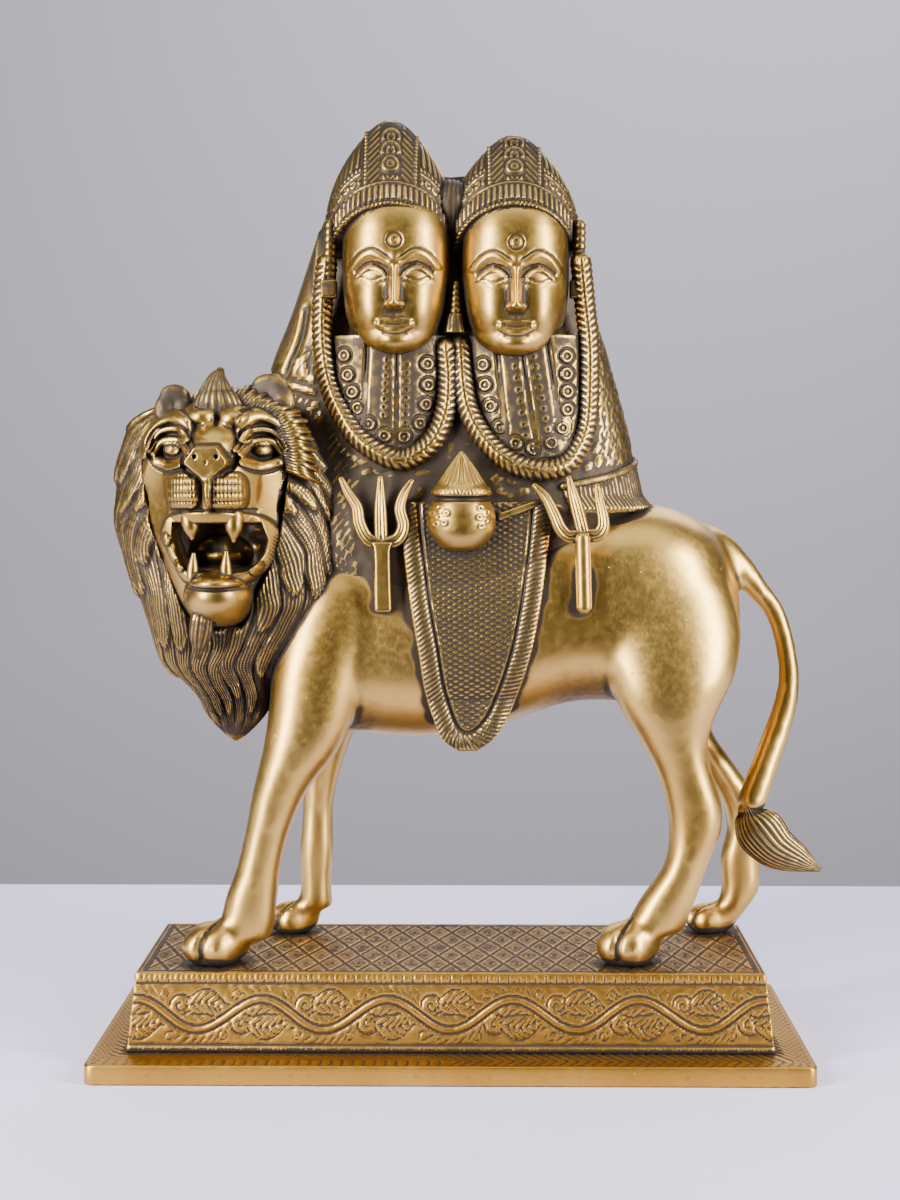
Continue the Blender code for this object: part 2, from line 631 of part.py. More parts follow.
def twin(face_x, face_z, crown_x, crown_top, chest_x):
    """One of the two figures: face, chest, crown with its rim and flutes, and ear ornaments."""
    chin = face_z - FACE_HEIGHT / 2
    face = []
    for share, size, inset in FACE_PROFILE:
        front = FACE_FRONT + inset
        face.append((face_x, (front + FACE_BACK) / 2, chin + FACE_HEIGHT * share,
                     FACE_HALF_WIDTH * size, (FACE_BACK - front) / 2))
    shells = [column(face, 26, 3, 2.25)]
    chest = [(chest_x, -6, 150, 19, 14), (chest_x, -7, 160, 21, 17), (chest_x, -7, 182, 20, 17.4),
             (chest_x * 0.97, -7, 200, 17, 16), (face_x, -6, 214, 12, 12)]
    shells.append(column(chest, 30, 4, 2.3))

    def skin_y(z):
        shares, _, insets = zip(*FACE_PROFILE)
        return FACE_FRONT + float(np.interp((z - chin) / FACE_HEIGHT, shares, insets))

    # Brow, nose and mouth stand by thirds of the face, from the crown's rim to the chin.
    third = FACE_HEIGHT / 3
    brow_z, nose_z = chin + 2 * third, chin + third
    eye_z, mouth_z = brow_z - 0.30 * third, nose_z - 0.36 * third
    for side in (-1, 1):
        shells.append(ball(face_x + side * 6.7, skin_y(eye_z) + 2.0, eye_z, 4.4, 2.9, 2.3, side * 16, 14))
        brow = [(face_x + side * 2.6, skin_y(brow_z) + 0.2, brow_z - 0.6, 0.9, 0.9),
                (face_x + side * 7.2, skin_y(brow_z) + 1.0, brow_z + 1.5, 0.9, 0.9),
                (face_x + side * 12.0, skin_y(brow_z) + 4.6, brow_z - 0.8, 0.8, 0.8)]
        shells.append(tube(brow, 8, 4))
        shells.append(ball(face_x + side * 1.9, skin_y(nose_z) - 1.6, nose_z + 0.8, 1.5, 1.8, 1.3, 0, 10))
    nose = [(face_x, skin_y(brow_z) + 0.8, brow_z - 1.2, 1.3, 1.4),
            (face_x, skin_y(nose_z) - 0.6, nose_z + 5, 1.5, 2.0),
            (face_x, skin_y(nose_z) - 3.0, nose_z + 1.2, 2.0, 2.2)]
    shells.append(tube(nose, 10, 4))
    for lip, size in ((0.9, 1.2), (-1.1, 1.4)):
        mouth = [(face_x - 4.6, skin_y(mouth_z) + 1.2, mouth_z, 0.7, 0.8),
                 (face_x, skin_y(mouth_z) - 0.4, mouth_z + lip, size, size + 0.3),
                 (face_x + 4.6, skin_y(mouth_z) + 1.2, mouth_z, 0.7, 0.8)]
        shells.append(tube(mouth, 8, 4))
    shells.append(ball(face_x, skin_y(chin + 4) + 3.0, chin + 4, 4.2, 4.0, 3.2, 0, 12))
    shells.append(ball(face_x, skin_y(brow_z + 5.6) + 0.9, brow_z + 5.6, 2.3, 1.8, 2.3, 0, 12))

    def flutes(turn, z):
        front = np.clip((-np.sin(turn) - 0.92) / 0.03, 0, 1)
        fade = np.clip((z - CROWN_RIM_Z - 8) / 2, 0, 1) * np.clip((crown_top - z) / 8, 0, 1)
        return fade * (CROWN_RELIEF * (ridges(CROWN_FLUTES * turn, 0.9) - 0.7) * (1 - front) + 1.2 * front)

    rise = crown_top - CROWN_RIM_Z
    dome = []
    for share, wide, deep in CROWN_PROFILE:
        dome.append((crown_x, CROWN_Y - 1.5 * max(share, 0), CROWN_RIM_Z + rise * share, wide, deep))
    shells.append(column(dome, 120, 3, 2.15, flutes))
    lean = face_x - crown_x
    for drop, swell in ((0.0, 2.7), (6.2, 1.5)):
        rim = []
        for share in (-1, -0.8, -0.45, 0, 0.45, 0.8, 1):
            bend = math.sqrt(max(0.0, 1 - share**2))
            x = crown_x + 0.3 * lean + 18.8 * share * (1 - 0.008 * drop)
            y = CROWN_Y - (20.6 - 0.3 * drop) * bend
            rim.append((x, y, CROWN_RIM_Z - 3 + 6.5 * bend + drop, swell, swell))
        shells.append(tube(rim, 10, 4))
    return shells


def ear_ornaments():
    """A hanging rod with a block at each outer ear, and a flared tassel between the heads."""
    shells = []
    for x, y in ((-38.4, -16), (40.6, -15)):
        shells.append(tube([(x, y, 220, 2.1, 2.1), (x, y, 237, 1.9, 1.9)], 10, 2))
        block = ((213.5, 2.3), (214.2, 2.8), (219.4, 2.8), (220.2, 2.3))
        shells.append(column([(x, y, z, half, half) for z, half in block], 12, 1, 6))
    tassel = ((203.6, 3.4), (209.6, 2.6), (211.2, 2.1), (217, 2.3))
    shells.append(column([(1.6, -20, z, half, 0.9 * half) for z, half in tassel], 12, 1, 2.4))
    return shells


def garlands():
    """Two thick ropes that hang in a U over each chest."""
    shells = []
    for line in GARLANDS:
        rope = []
        for x, z in line:
            y = min(float(chest_y(x, z)), -16.0) - 0.9
            rope.append((x, y, z, GARLAND_RADIUS, GARLAND_RADIUS))
        shells.append(tube(rope, 10, 3))
    return shells


def dress_plates():
    """Three upright plates on each chest."""
    shells = []
    for left, right, foot, top in DRESS_PLATES:
        x = np.linspace(left, right, 4)[:, None] * np.ones((1, 5))
        z = np.linspace(foot, top, 5)[None, :] * np.ones((4, 1))
        y = chest_y(x, z)
        front = np.stack([x, y - 1.0, z], axis=-1)
        back = np.stack([x, y + 2.0, z], axis=-1)
        shells.append(slab_between(front, back))
    return shells


def tridents():
    """Two three-tined spears that lie against the front of the bust."""
    shells = []
    for trident in TRIDENTS:
        joint_x, joint_z = trident["joint"]
        foot_x, foot_z = trident["foot"]
        shaft = [(foot_x, TRIDENT_Y, foot_z, 2.7, 2.4), (joint_x, TRIDENT_Y, joint_z - 2, 2.6, 2.4)]
        shells.append(tube(shaft, 8, 3))
        shells.append(ball(joint_x, TRIDENT_Y, joint_z, 3.6, 2.6, 2.2, 0, 12))
        for tip_x, tip_z in trident["tips"]:
            out = tip_x - joint_x
            tine = [(joint_x, TRIDENT_Y, joint_z, 1.8, 1.8),
                    (joint_x + 0.62 * out, TRIDENT_Y, joint_z + 3.2, 1.8, 1.8),
                    (joint_x + 0.86 * out, TRIDENT_Y, joint_z + 9.5, 1.7, 1.7),
                    (tip_x, TRIDENT_Y, tip_z, 1.0, 1.2)]
            shells.append(tube(tine, 8, 3))
    return shells


def kalash():
    """A round pot with a rope rim and a fluted cone over it."""

    def flutes(turn, z):
        return np.where(z > 155.4, 0.35 * (ridges(14 * turn) - 0.6), 0.0)

    rows = [(KALASH_X, KALASH_Y, z, radius, radius * 0.92) for z, radius in KALASH]
    return [column(rows, 42, 3, 2, flutes)]


def saddle_cloth():
    """A tongue of cloth on the flank, with a raised fringed border along its sides and foot."""
    path = spline(SADDLE_CLOTH, 4)
    across = np.linspace(0, 1, 15)[None, :]
    x = path[:, 1][:, None] + (path[:, 2] - path[:, 1])[:, None] * across
    z = np.broadcast_to(path[:, 0][:, None], x.shape)
    surface = np.minimum(flank_y(x, z), np.where(z > 116, shawl_y(x, z), 0.0))
    front = np.stack([x, surface - CLOTH_LIFT, z], axis=-1)
    back = np.stack([x, surface + 3.0, z], axis=-1)
    shells = [slab_between(front, back)]
    edge = [(row[1] + CLOTH_BORDER / 2, row[0]) for row in SADDLE_CLOTH[:-1]]
    edge.append(((SADDLE_CLOTH[-1][1] + SADDLE_CLOTH[-1][2]) / 2, SADDLE_CLOTH[-1][0] + CLOTH_BORDER / 2))
    edge += [(row[2] - CLOTH_BORDER / 2, row[0]) for row in SADDLE_CLOTH[-2::-1]]
    rim = []
    for x, z in edge:
        y = float(np.minimum(flank_y(x, z), shawl_y(x, z) if z > 116 else 0.0))
        rim.append((x, y - CLOTH_LIFT, z, CLOTH_BORDER / 2, CLOTH_BORDER_LIFT))
    shells.append(tube(rim, 10, 3))
    return shells


def hem():
    """A band with a fringe where the shawl's right side meets the lion's back."""
    band = [(40, -26, 156), (49, -20, 160), (56, -10, 163.6), (60, 2, 164.4), (58, 12, 163)]
    return [tube([(x, y, z, 1.6, 1.6) for x, y, z in band], 8, 4)]


def figure():
    """The whole casting: a smooth coat, then everything carved on it, made one skin and thinned."""
    points, faces = joined(coat())
    body = new_object("coat", points, faces)
    skin = body.modifiers.new("one_skin", "REMESH")
    skin.mode = "VOXEL"
    skin.voxel_size = COAT_VOXEL
    soften = body.modifiers.new("soften", "SMOOTH")
    soften.factor = 0.5
    soften.iterations = COAT_SMOOTHING
    smooth_body = evaluated(body)
    bpy.data.objects.remove(body)

    carved = toes() + mane() + lion_face() + tail_tuft() + shawl() + ear_ornaments() + garlands()
    carved += dress_plates() + tridents() + kalash() + saddle_cloth() + hem()
    for member in TWINS:
        carved += twin(**member)
    points, faces = joined(carved)
    body_points = np.array([tuple(vertex.co) for vertex in smooth_body.vertices])
    body_faces = [[len(points) + index for index in polygon.vertices] for polygon in smooth_body.polygons]
    statue = new_object("lion_and_goddess", np.vstack([points, body_points]), faces + body_faces)
    skin = statue.modifiers.new("one_skin", "REMESH")
    skin.mode = "VOXEL"
    skin.voxel_size = SKIN_VOXEL
    statue.data = evaluated(statue)
    statue.modifiers.clear()

    # Thinning costs more where the faces are.
    places = np.empty(3 * len(statue.data.vertices), np.float32)
    statue.data.vertices.foreach_get("co", places)
    places = places.reshape(-1, 3)
    fine = np.zeros(len(places), bool)
    for x, y, z, radius in FINE_PLACES:
        fine |= np.linalg.norm(places - (x, y, z), axis=1) < radius
    group = statue.vertex_groups.new(name="thinning")
    group.add(np.flatnonzero(~fine).tolist(), 1.0, "REPLACE")
    group.add(np.flatnonzero(fine).tolist(), FINE_WEIGHT, "REPLACE")
    thin = statue.modifiers.new("thin_out", "DECIMATE")
    thin.ratio = FIGURE_TRIANGLES / (2 * len(statue.data.polygons))
    thin.vertex_group = group.name
    thinned = evaluated(statue)
    statue.modifiers.clear()
    statue.vertex_groups.clear()
    statue.data = thinned
    statue.data.transform(Matrix.Translation((0, 0, PLINTH_HEIGHT + PAW_GAP)) @ Matrix.Scale(UNIT, 4))

    # The paws are cut flat where they stand.
    ground = box("ground_cutter", (-SLAB_X, -SLAB_Y, 0), (SLAB_X, SLAB_Y, PLINTH_HEIGHT + PAW_GAP))
    ground.hide_render = True
    ground.display_type = "WIRE"
    cut = statue.modifiers.new("flat_paws", "BOOLEAN")
    cut.operation = "DIFFERENCE"
    cut.object = ground
    return statue


def box(name, low, high):
    """A plain box between two corners."""
    corners = [(x, y, z) for z in (low[2], high[2]) for x, y in
               ((low[0], low[1]), (high[0], low[1]), (high[0], high[1]), (low[0], high[1]))]
    sides = [(k, (k + 1) % 4, (k + 1) % 4 + 4, k + 4) for k in range(4)]
    return new_object(name, corners, [(3, 2, 1, 0), (4, 5, 6, 7)] + sides)


def rounded_outline(half_x, half_y, radius, arc=4):
    """A rectangle with round corners, anticlockwise."""
    outline = []
    for quarter, (x, y) in enumerate(((1, 1), (-1, 1), (-1, -1), (1, -1))):
        for step in range(arc):
            turn = math.pi / 2 * (quarter + step / (arc - 1))
            outline.append((x * (half_x - radius) + radius * math.cos(turn),
                            y * (half_y - radius) + radius * math.sin(turn)))
    return outline


def stack(levels):
    """A closed solid over outlines at rising heights, each with as many points."""
    points = [(x, y, z) for outline, z in levels for x, y in outline]
    sides = len(levels[0][0])
    faces = [tuple(range(sides - 1, -1, -1)), tuple(range(len(points) - sides, len(points)))]
    for level in range(len(levels) - 1):
        low, high = level * sides, (level + 1) * sides
        faces += [(low + k, low + (k + 1) % sides, high + (k + 1) % sides, high + k) for k in range(sides)]
    return points, faces


def slab_and_block():
    """The slab with eased edges and the block on it, whose sides lean in."""
    ease = SLAB_EDGE
    slab = [
        (rounded_outline(SLAB_X - ease, SLAB_Y - ease, SLAB_CORNER), 0.0),
        (rounded_outline(SLAB_X, SLAB_Y, SLAB_CORNER), ease),
        (rounded_outline(SLAB_X, SLAB_Y, SLAB_CORNER), SLAB_HEIGHT - ease),
        (rounded_outline(SLAB_X - ease, SLAB_Y - ease, SLAB_CORNER), SLAB_HEIGHT),
    ]
    edge = BLOCK_EDGE
    block = [
        (rounded_outline(BLOCK_FOOT_X, BLOCK_FOOT_Y, edge), SLAB_HEIGHT),
        (rounded_outline(BLOCK_TOP_X, BLOCK_TOP_Y, edge), PLINTH_HEIGHT - edge),
        (rounded_outline(BLOCK_TOP_X - edge, BLOCK_TOP_Y - edge, edge), PLINTH_HEIGHT),
    ]
    return stack(slab + block)


def side_frames():
    """The block's four leaning sides: middle of the foot, direction along, half length, direction out."""
    lean = math.atan2(BLOCK_DRAFT, BLOCK_HEIGHT)
    for turn, reach, half in ((-90, BLOCK_FOOT_Y, BLOCK_FOOT_X), (0, BLOCK_FOOT_X, BLOCK_FOOT_Y),
                              (90, BLOCK_FOOT_Y, BLOCK_FOOT_X), (180, BLOCK_FOOT_X, BLOCK_FOOT_Y)):
        facing = np.array([math.cos(math.radians(turn)), math.sin(math.radians(turn)), 0.0])
        along = np.array([-facing[1], facing[0], 0.0])
        up = np.array([0, 0, math.cos(lean)]) - facing * math.sin(lean)
        out = facing * math.cos(lean) + np.array([0, 0, math.sin(lean)])
        yield np.array([0, 0, SLAB_HEIGHT]) + facing * reach, along, up, out, half


def strip(frame, line, widths, lift):
    """A raised strip with sloping sides along a line of points on one side of the block."""
    foot, along, up, out, _ = frame
    line = np.asarray(line, float)
    heading = np.gradient(line, axis=0)
    heading /= np.linalg.norm(heading, axis=1)[:, None]
    beside = np.stack([-heading[:, 1], heading[:, 0]], axis=1) * np.asarray(widths, float)[:, None] / 2
    corners = []
    for share, height in ((1.0, -VINE_ROOT), (0.45, lift), (-0.45, lift), (-1.0, -VINE_ROOT)):
        place = line + beside * share
        corners.append(foot + place[:, :1] * along + place[:, 1:] * up + height * out)
    rings = np.stack(corners, axis=1)
    count = len(line)
    faces = [(0, 1, 2, 3), tuple(4 * count - k for k in (1, 2, 3, 4))]
    for ring in range(count - 1):
        low, high = 4 * ring, 4 * ring + 4
        faces += [(low + k, high + k, high + (k + 1) % 4, low + (k + 1) % 4) for k in range(4)]
    return rings.reshape(-1, 3), faces


def vine(frame, waves, leafy):
    """A wave between two border strips, with a curled leaf in each bay."""
    half = frame[4] - BLOCK_DRAFT
    slope = math.hypot(BLOCK_HEIGHT, BLOCK_DRAFT)
    middle = slope / 2
    reach = half - 2 * BORDER_MARGIN
    shells = []
    for height in (BORDER_MARGIN + BORDER_WIDTH / 2, slope - BORDER_MARGIN - BORDER_WIDTH / 2):
        shells.append(strip(frame, [(-reach, height), (reach, height)], [BORDER_WIDTH] * 2, VINE_LIFT))
    steps = waves * WAVE_STEPS + 1
    run = np.linspace(-reach, reach, steps)
    wave = middle + VINE_SWING * np.cos(2 * math.pi * waves * (run + reach) / (2 * reach))
    shells.append(strip(frame, np.stack([run, wave], axis=1), [VINE_WIDTH] * steps, VINE_LIFT))
    if not leafy:
        return shells
    bay = reach / waves
    for index in range(2 * waves):
        side = 1 if index % 2 else -1
        start = -reach + bay * (index + 0.5)
        for branch in (0, 1):
            share = np.linspace(0, 1, 4)
            curl = 0.5 + 0.9 * branch + 0.9 * share
            x = start + bay * (0.12 + 0.42 * branch) + LEAF_LENGTH * share * np.cos(curl) * 0.8
            z = middle + side * (VINE_SWING * 0.75 - LEAF_LENGTH * share * np.sin(curl) * 0.55)
            widths = LEAF_WIDTH * np.array([0.6, 1.0, 0.8, 0.15])
            shells.append(strip(frame, np.stack([x, z], axis=1), widths, VINE_LIFT * 0.8))
    return shells


def plinth():
    """The stepped base casting, with the vine joined to its sides."""
    points, faces = slab_and_block()
    base = new_object("plinth", points, faces)
    ornament = []
    for number, frame in enumerate(side_frames()):
        along_x = number % 2 == 0
        waves = VINE_WAVES if along_x else max(1, round(VINE_WAVES * BLOCK_TOP_Y / BLOCK_TOP_X))
        ornament += vine(frame, waves, number == 0)
    points, faces = joined(ornament)
    relief = new_object("vine_relief", points, faces)
    relief.hide_render = True
    relief.display_type = "WIRE"
    union = base.modifiers.new("vine", "BOOLEAN")
    union.operation = "UNION"
    union.use_self = True
    union.object = relief
    return base


for leftover in list(bpy.data.objects):
    bpy.data.objects.remove(leftover)
FIGURE = figure()
FIGURE.data.materials.append(brass("satin_brass", (0.52, 0.37, 0.15), 0.34))
PLINTH = plinth()
PLINTH.data.materials.append(brass("engraved_brass", (0.46, 0.30, 0.12), 0.42))
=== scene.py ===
import math

import bpy
import numpy as np
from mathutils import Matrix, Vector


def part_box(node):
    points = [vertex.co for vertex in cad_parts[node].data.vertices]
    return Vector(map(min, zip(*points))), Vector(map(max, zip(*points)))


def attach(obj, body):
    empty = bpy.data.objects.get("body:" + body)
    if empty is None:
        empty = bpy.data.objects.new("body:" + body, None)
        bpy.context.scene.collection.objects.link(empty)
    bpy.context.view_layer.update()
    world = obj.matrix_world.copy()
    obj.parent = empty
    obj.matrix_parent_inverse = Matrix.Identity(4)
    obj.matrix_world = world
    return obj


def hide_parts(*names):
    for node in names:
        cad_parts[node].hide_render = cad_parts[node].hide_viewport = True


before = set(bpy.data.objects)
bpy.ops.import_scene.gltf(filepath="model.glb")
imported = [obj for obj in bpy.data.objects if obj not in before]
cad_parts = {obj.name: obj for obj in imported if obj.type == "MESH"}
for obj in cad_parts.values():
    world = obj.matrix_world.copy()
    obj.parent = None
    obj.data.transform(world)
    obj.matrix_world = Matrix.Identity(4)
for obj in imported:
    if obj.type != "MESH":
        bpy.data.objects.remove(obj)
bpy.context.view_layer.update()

# The figure is drawn in units of a thousandth of a metre, counted from under its paws.
unit = 0.001
fullTurn = 2 * math.pi
frontTurn = 1.5 * math.pi  # where a ring faces the viewer
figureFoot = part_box("lion_and_goddess")[0][2]
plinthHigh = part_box("plinth")[1]

# camera, lights and table

view = {
    "place": (0.00656, -0.6372, 0.1962),
    "tiltDown": 0.074,
    "turn": 0.011,
    "lens": 57.72,
}
cameraData = bpy.data.cameras.new("camera")
cameraData.lens = view["lens"]
cameraData.sensor_width = 36.0
camera = bpy.data.objects.new("camera", cameraData)
camera.location = view["place"]
camera.rotation_euler = (math.pi / 2 - view["tiltDown"], 0, view["turn"])
bpy.context.scene.collection.objects.link(camera)
bpy.context.scene.camera = camera

figureMiddle = (0.0, 0.0, 0.14)
softLights = [
    {"name": "left_window", "place": (-0.60, -0.50, 0.34), "aim": figureMiddle, "size": (0.20, 0.80), "power": 21.0,
     "tint": (1.0, 0.98, 0.95)},
    {"name": "right_window", "place": (0.66, -0.40, 0.34), "aim": figureMiddle, "size": (0.20, 0.80), "power": 17.0,
     "tint": (1.0, 0.98, 0.95)},
    {"name": "over_head", "place": (0.0, -0.25, 0.95), "aim": figureMiddle, "size": (0.9, 0.5), "power": 3.0,
     "tint": (0.97, 0.98, 1.0)},
    {"name": "from_behind", "place": (0.1, 0.75, 0.75), "aim": figureMiddle, "size": (1.2, 0.4), "power": 4.0,
     "tint": (0.96, 0.97, 1.0)},
    {"name": "wall_wash", "place": (0.45, 0.75, 1.25), "aim": (0.1, 1.5, 0.45), "size": (1.2, 0.5), "power": 14.0,
     "tint": (0.95, 0.93, 1.0)},
]
for light in softLights:
    data = bpy.data.lights.new(light["name"], "AREA")
    data.shape = "RECTANGLE"
    data.size, data.size_y = light["size"]
    data.energy = light["power"]
    data.color = light["tint"]
    lamp = bpy.data.objects.new(light["name"], data)
    away = np.array(light["place"]) - light["aim"]
    lamp.location = light["place"]
    lamp.rotation_euler = (math.acos(away[2] / np.linalg.norm(away)), 0, math.atan2(away[0], -away[1]))
    bpy.context.scene.collection.objects.link(lamp)

room = bpy.data.worlds.new("room")
room.use_nodes = True
room.node_tree.nodes["Background"].inputs["Color"].default_value = (0.56, 0.55, 0.61, 1)
room.node_tree.nodes["Background"].inputs["Strength"].default_value = 0.07
bpy.context.scene.world = room


def addNode(tree, kind, inputs, **settings):
    # one shader node: a value that is a socket is linked, any other is set
    made = tree.nodes.new(kind)
    for key, value in settings.items():
        setattr(made, key, value)
    for key, value in inputs.items():
        if isinstance(value, bpy.types.NodeSocket):
            tree.links.new(value, made.inputs[key])
        else:
            made.inputs[key].default_value = value
    return made


def plainMaterial(name, colour, roughness):
    # one colour, one roughness
    material = bpy.data.materials.new(name)
    material.use_nodes = True
    shader = material.node_tree.nodes["Principled BSDF"]
    shader.inputs["Base Color"].default_value = (*colour, 1)
    shader.inputs["Roughness"].default_value = roughness
    shader.inputs["Specular IOR Level"].default_value = 0.2
    return material


def stageSheet(name, corners, material):
    # a flat face of the surroundings
    mesh = bpy.data.meshes.new(name)
    mesh.from_pydata(corners, [], [tuple(range(len(corners)))])
    mesh.materials.append(material)
    sheet = bpy.data.objects.new(name, mesh)
    bpy.context.scene.collection.objects.link(sheet)


table = {"farEdge": 0.235, "halfWidth": 1.6, "near": -0.16, "colour": (0.74, 0.72, 0.97)}
wall = {"y": 1.5, "halfWidth": 2.6, "low": -1.2, "high": 2.2, "colour": (0.60, 0.58, 0.65)}
stageSheet("table", [(-table["halfWidth"], table["near"], 0), (table["halfWidth"], table["near"], 0),
                     (table["halfWidth"], table["farEdge"], 0), (-table["halfWidth"], table["farEdge"], 0)],
           plainMaterial("table_cloth", table["colour"], 0.9))
stageSheet("wall", [(-wall["halfWidth"], wall["y"], wall["low"]), (wall["halfWidth"], wall["y"], wall["low"]),
                    (wall["halfWidth"], wall["y"], wall["high"]), (-wall["halfWidth"], wall["y"], wall["high"])],
           plainMaterial("wall_paint", wall["colour"], 0.95))
print("stage: camera, lights, table and wall")


# brass finishes

def brassFinish(name, look):
    # brass over its whole surface, darkened where the attributes say that it lies low (patina), crowded (partly patina,
    # partly painted shade) or stained (stains, patina and painted shade)
    material = bpy.data.materials.new(name)
    material.use_nodes = True
    tree = material.node_tree
    shader = tree.nodes["Principled BSDF"]
    place = addNode(tree, "ShaderNodeTexCoord", {}).outputs["Object"]
    hollow, crowd, stainAndShade = (addNode(tree, "ShaderNodeAttribute", {}, attribute_name=key).outputs["Fac"]
                            for key in ("hollow", "crowd", "stainAndShade"))

    def clouds(vector, scale, detail):
        made = addNode(tree, "ShaderNodeTexNoise", {"Vector": vector, "Scale": scale, "Detail": detail})
        return made.outputs["Fac"]

    brushed = addNode(tree, "ShaderNodeMapping", {"Vector": place, "Scale": look["brush"]}).outputs["Vector"]
    broad, spots, strokes = clouds(place, 22.0, 3.0), clouds(place, 420.0, 4.0), clouds(brushed, 420.0, 3.0)
    pits = addNode(tree, "ShaderNodeTexVoronoi", {"Vector": place, "Scale": 240.0}).outputs["Distance"]

    def ramp(value, low, high, start=0.0, end=1.0):
        made = addNode(tree, "ShaderNodeMapRange", {"Value": value, "From Min": low, "From Max": high,
                                                   "To Min": start, "To Max": end}, interpolation_type="SMOOTHSTEP")
        return made.outputs["Result"]

    def sums(a, b, kind="ADD"):
        return addNode(tree, "ShaderNodeMath", {0: a, 1: b}, operation=kind).outputs["Value"]

    def mixed(share, a, b):
        made = addNode(tree, "ShaderNodeMix", {}, data_type="RGBA")
        for key, value in (("Factor_Float", share), ("A_Color", a), ("B_Color", b)):
            socket = next(item for item in made.inputs if item.identifier == key)
            if isinstance(value, bpy.types.NodeSocket):
                tree.links.new(value, socket)
            else:
                socket.default_value = value if key == "Factor_Float" else (*value, 1)
        return next(item for item in made.outputs if item.identifier == "Result_Color")

    low = ramp(hollow, *look["hollowRange"])
    # crowded places darken: partly patina, partly painted shade between parts
    close = ramp(crowd, *look["crowdRange"])
    worn = ramp(hollow, *look["wornRange"])
    kept = sums(1.0, sums(worn, look["wear"], "MULTIPLY"), "SUBTRACT")
    # one amount of dark colour: patina in the hollows and stains, and painted shade from crowding, the belly's
    # underside and the valley between the crowns
    patinaAndShade = sums(sums(low, close), sums(sums(stainAndShade, look["age"]), kept, "MULTIPLY"))
    patinaAndShade = sums(patinaAndShade, ramp(spots, 0.35, 0.75, -look["mottle"], look["mottle"]))
    patinaAndShade = ramp(patinaAndShade, 0.12, 0.92)
    tone = mixed(ramp(broad, 0.32, 0.68), look["pale"], look["deep"])
    tone = mixed(sums(ramp(crowd, 0.05, 0.45), look["blush"], "MULTIPLY"), tone, look["red"])
    tone = mixed(patinaAndShade, tone, look["patinaAndShade"])
    tree.links.new(tone, shader.inputs["Base Color"])
    gloss = sums(ramp(strokes, 0.3, 0.7, look["roughness"] - 0.02, look["roughness"] + 0.03),
                 ramp(spots, 0.4, 0.7, 0.0, 0.05))
    tree.links.new(sums(gloss, sums(patinaAndShade, look["patinaRoughness"], "MULTIPLY")), shader.inputs["Roughness"])
    tree.links.new(ramp(patinaAndShade, 0.8, 1.0, 1.0, 0.9), shader.inputs["Metallic"])
    pit = sums(ramp(pits, 0.10, 0.02), ramp(spots, 0.54, 0.62), "MULTIPLY")
    height = sums(sums(strokes, look["strokeHeight"], "MULTIPLY"), sums(pit, -look["pitDepth"], "MULTIPLY"))
    height = sums(height, sums(spots, sums(patinaAndShade, 0.5, "MULTIPLY"), "MULTIPLY"))
    bump = addNode(tree, "ShaderNodeBump", {"Height": height, "Strength": 1.0, "Distance": 0.0001})
    tree.links.new(bump.outputs["Normal"], shader.inputs["Normal"])
    return material


satinLook = {
    "pale": (0.68, 0.445, 0.120),
    "deep": (0.55, 0.335, 0.078),
    "red": (0.42, 0.19, 0.035),
    "patinaAndShade": (0.060, 0.046, 0.034),
    "roughness": 0.33,
    "patinaRoughness": 0.27,
    "wornRange": (-0.015, -0.10),
    "wear": 0.76,
    "hollowRange": (0.10, 0.35),
    "crowdRange": (0.25, 0.95),
    "age": 0.0,
    "mottle": 0.05,
    "blush": 0.2,
    "brush": (5.0, 1.5, 1.8),
    "strokeHeight": 0.03,
    "pitDepth": 1.2,
}
satinBrass = brassFinish("satin_brass_patina_and_shade", satinLook)
carvedBrass = brassFinish("carved_brass_patina_and_shade", dict(satinLook, pale=(0.48, 0.31, 0.08), deep=(0.38, 0.23, 0.052),
                                                     hollowRange=(-0.03, 0.07), crowdRange=(0.25, 0.9),
                                                     wornRange=(-0.035, -0.15), roughness=0.30, age=0.72,
                                                     mottle=0.16, blush=0.0))
polishedBrass = brassFinish("polished_brass", dict(satinLook, pale=(0.54, 0.345, 0.092), deep=(0.46, 0.285, 0.066),
                                                  hollowRange=(0.04, 0.18), crowdRange=(0.4, 1.1), roughness=0.33,
                                                  mottle=0.03, blush=0.0, pitDepth=0.5))
plinthBrass = brassFinish("plinth_brass_patina_and_shade", dict(satinLook, pale=(0.54, 0.31, 0.055), deep=(0.43, 0.225, 0.033),
                                                     roughness=0.36, hollowRange=(0.005, 0.09), age=0.12, mottle=0.14,
                                                     crowdRange=(0.3, 1.0), blush=0.2))
print("finishes: four kinds of brass")


# shapes

fineness = 1.0  # scales the number of steps of the grids


def steps(count):
    # a count of grid steps, scaled
    return max(3, int(round(count * fineness)))


def spline(rows, between):
    # Catmull-Rom: a cubic between each two rows, whose slope at a row is half the step between its neighbours
    rows = np.asarray(rows, float)
    ends = np.vstack([2 * rows[0] - rows[1], rows, 2 * rows[-1] - rows[-2]])
    t = np.linspace(0, 1, between, endpoint=False)[:, None]
    spans = []
    for a, b, c, d in zip(ends, ends[1:], ends[2:], ends[3:]):
        curve = 2 * b + (c - a) * t + (2 * a - 5 * b + 4 * c - d) * t**2
        spans.append((curve + (3 * b - a - 3 * c + d) * t**3) / 2)
    return np.vstack(spans + [rows[-1:]])


def evenly(rows, count):
    # the same curve, read at a number of places evenly spaced along its first three columns
    dense = spline(rows, 24)
    run = runAlong(dense[:, :3])
    wanted = np.linspace(0, run[-1], count)
    return np.stack([np.interp(wanted, run, values) for values in dense.T], axis=1)


def byHeight(rows, heights, column=0):
    # rows read at given heights, with a spline's smoothness
    dense = spline(rows, 16)
    order = np.argsort(dense[:, column])
    return np.stack([np.interp(heights, dense[order, column], values) for values in dense[order].T], axis=1)


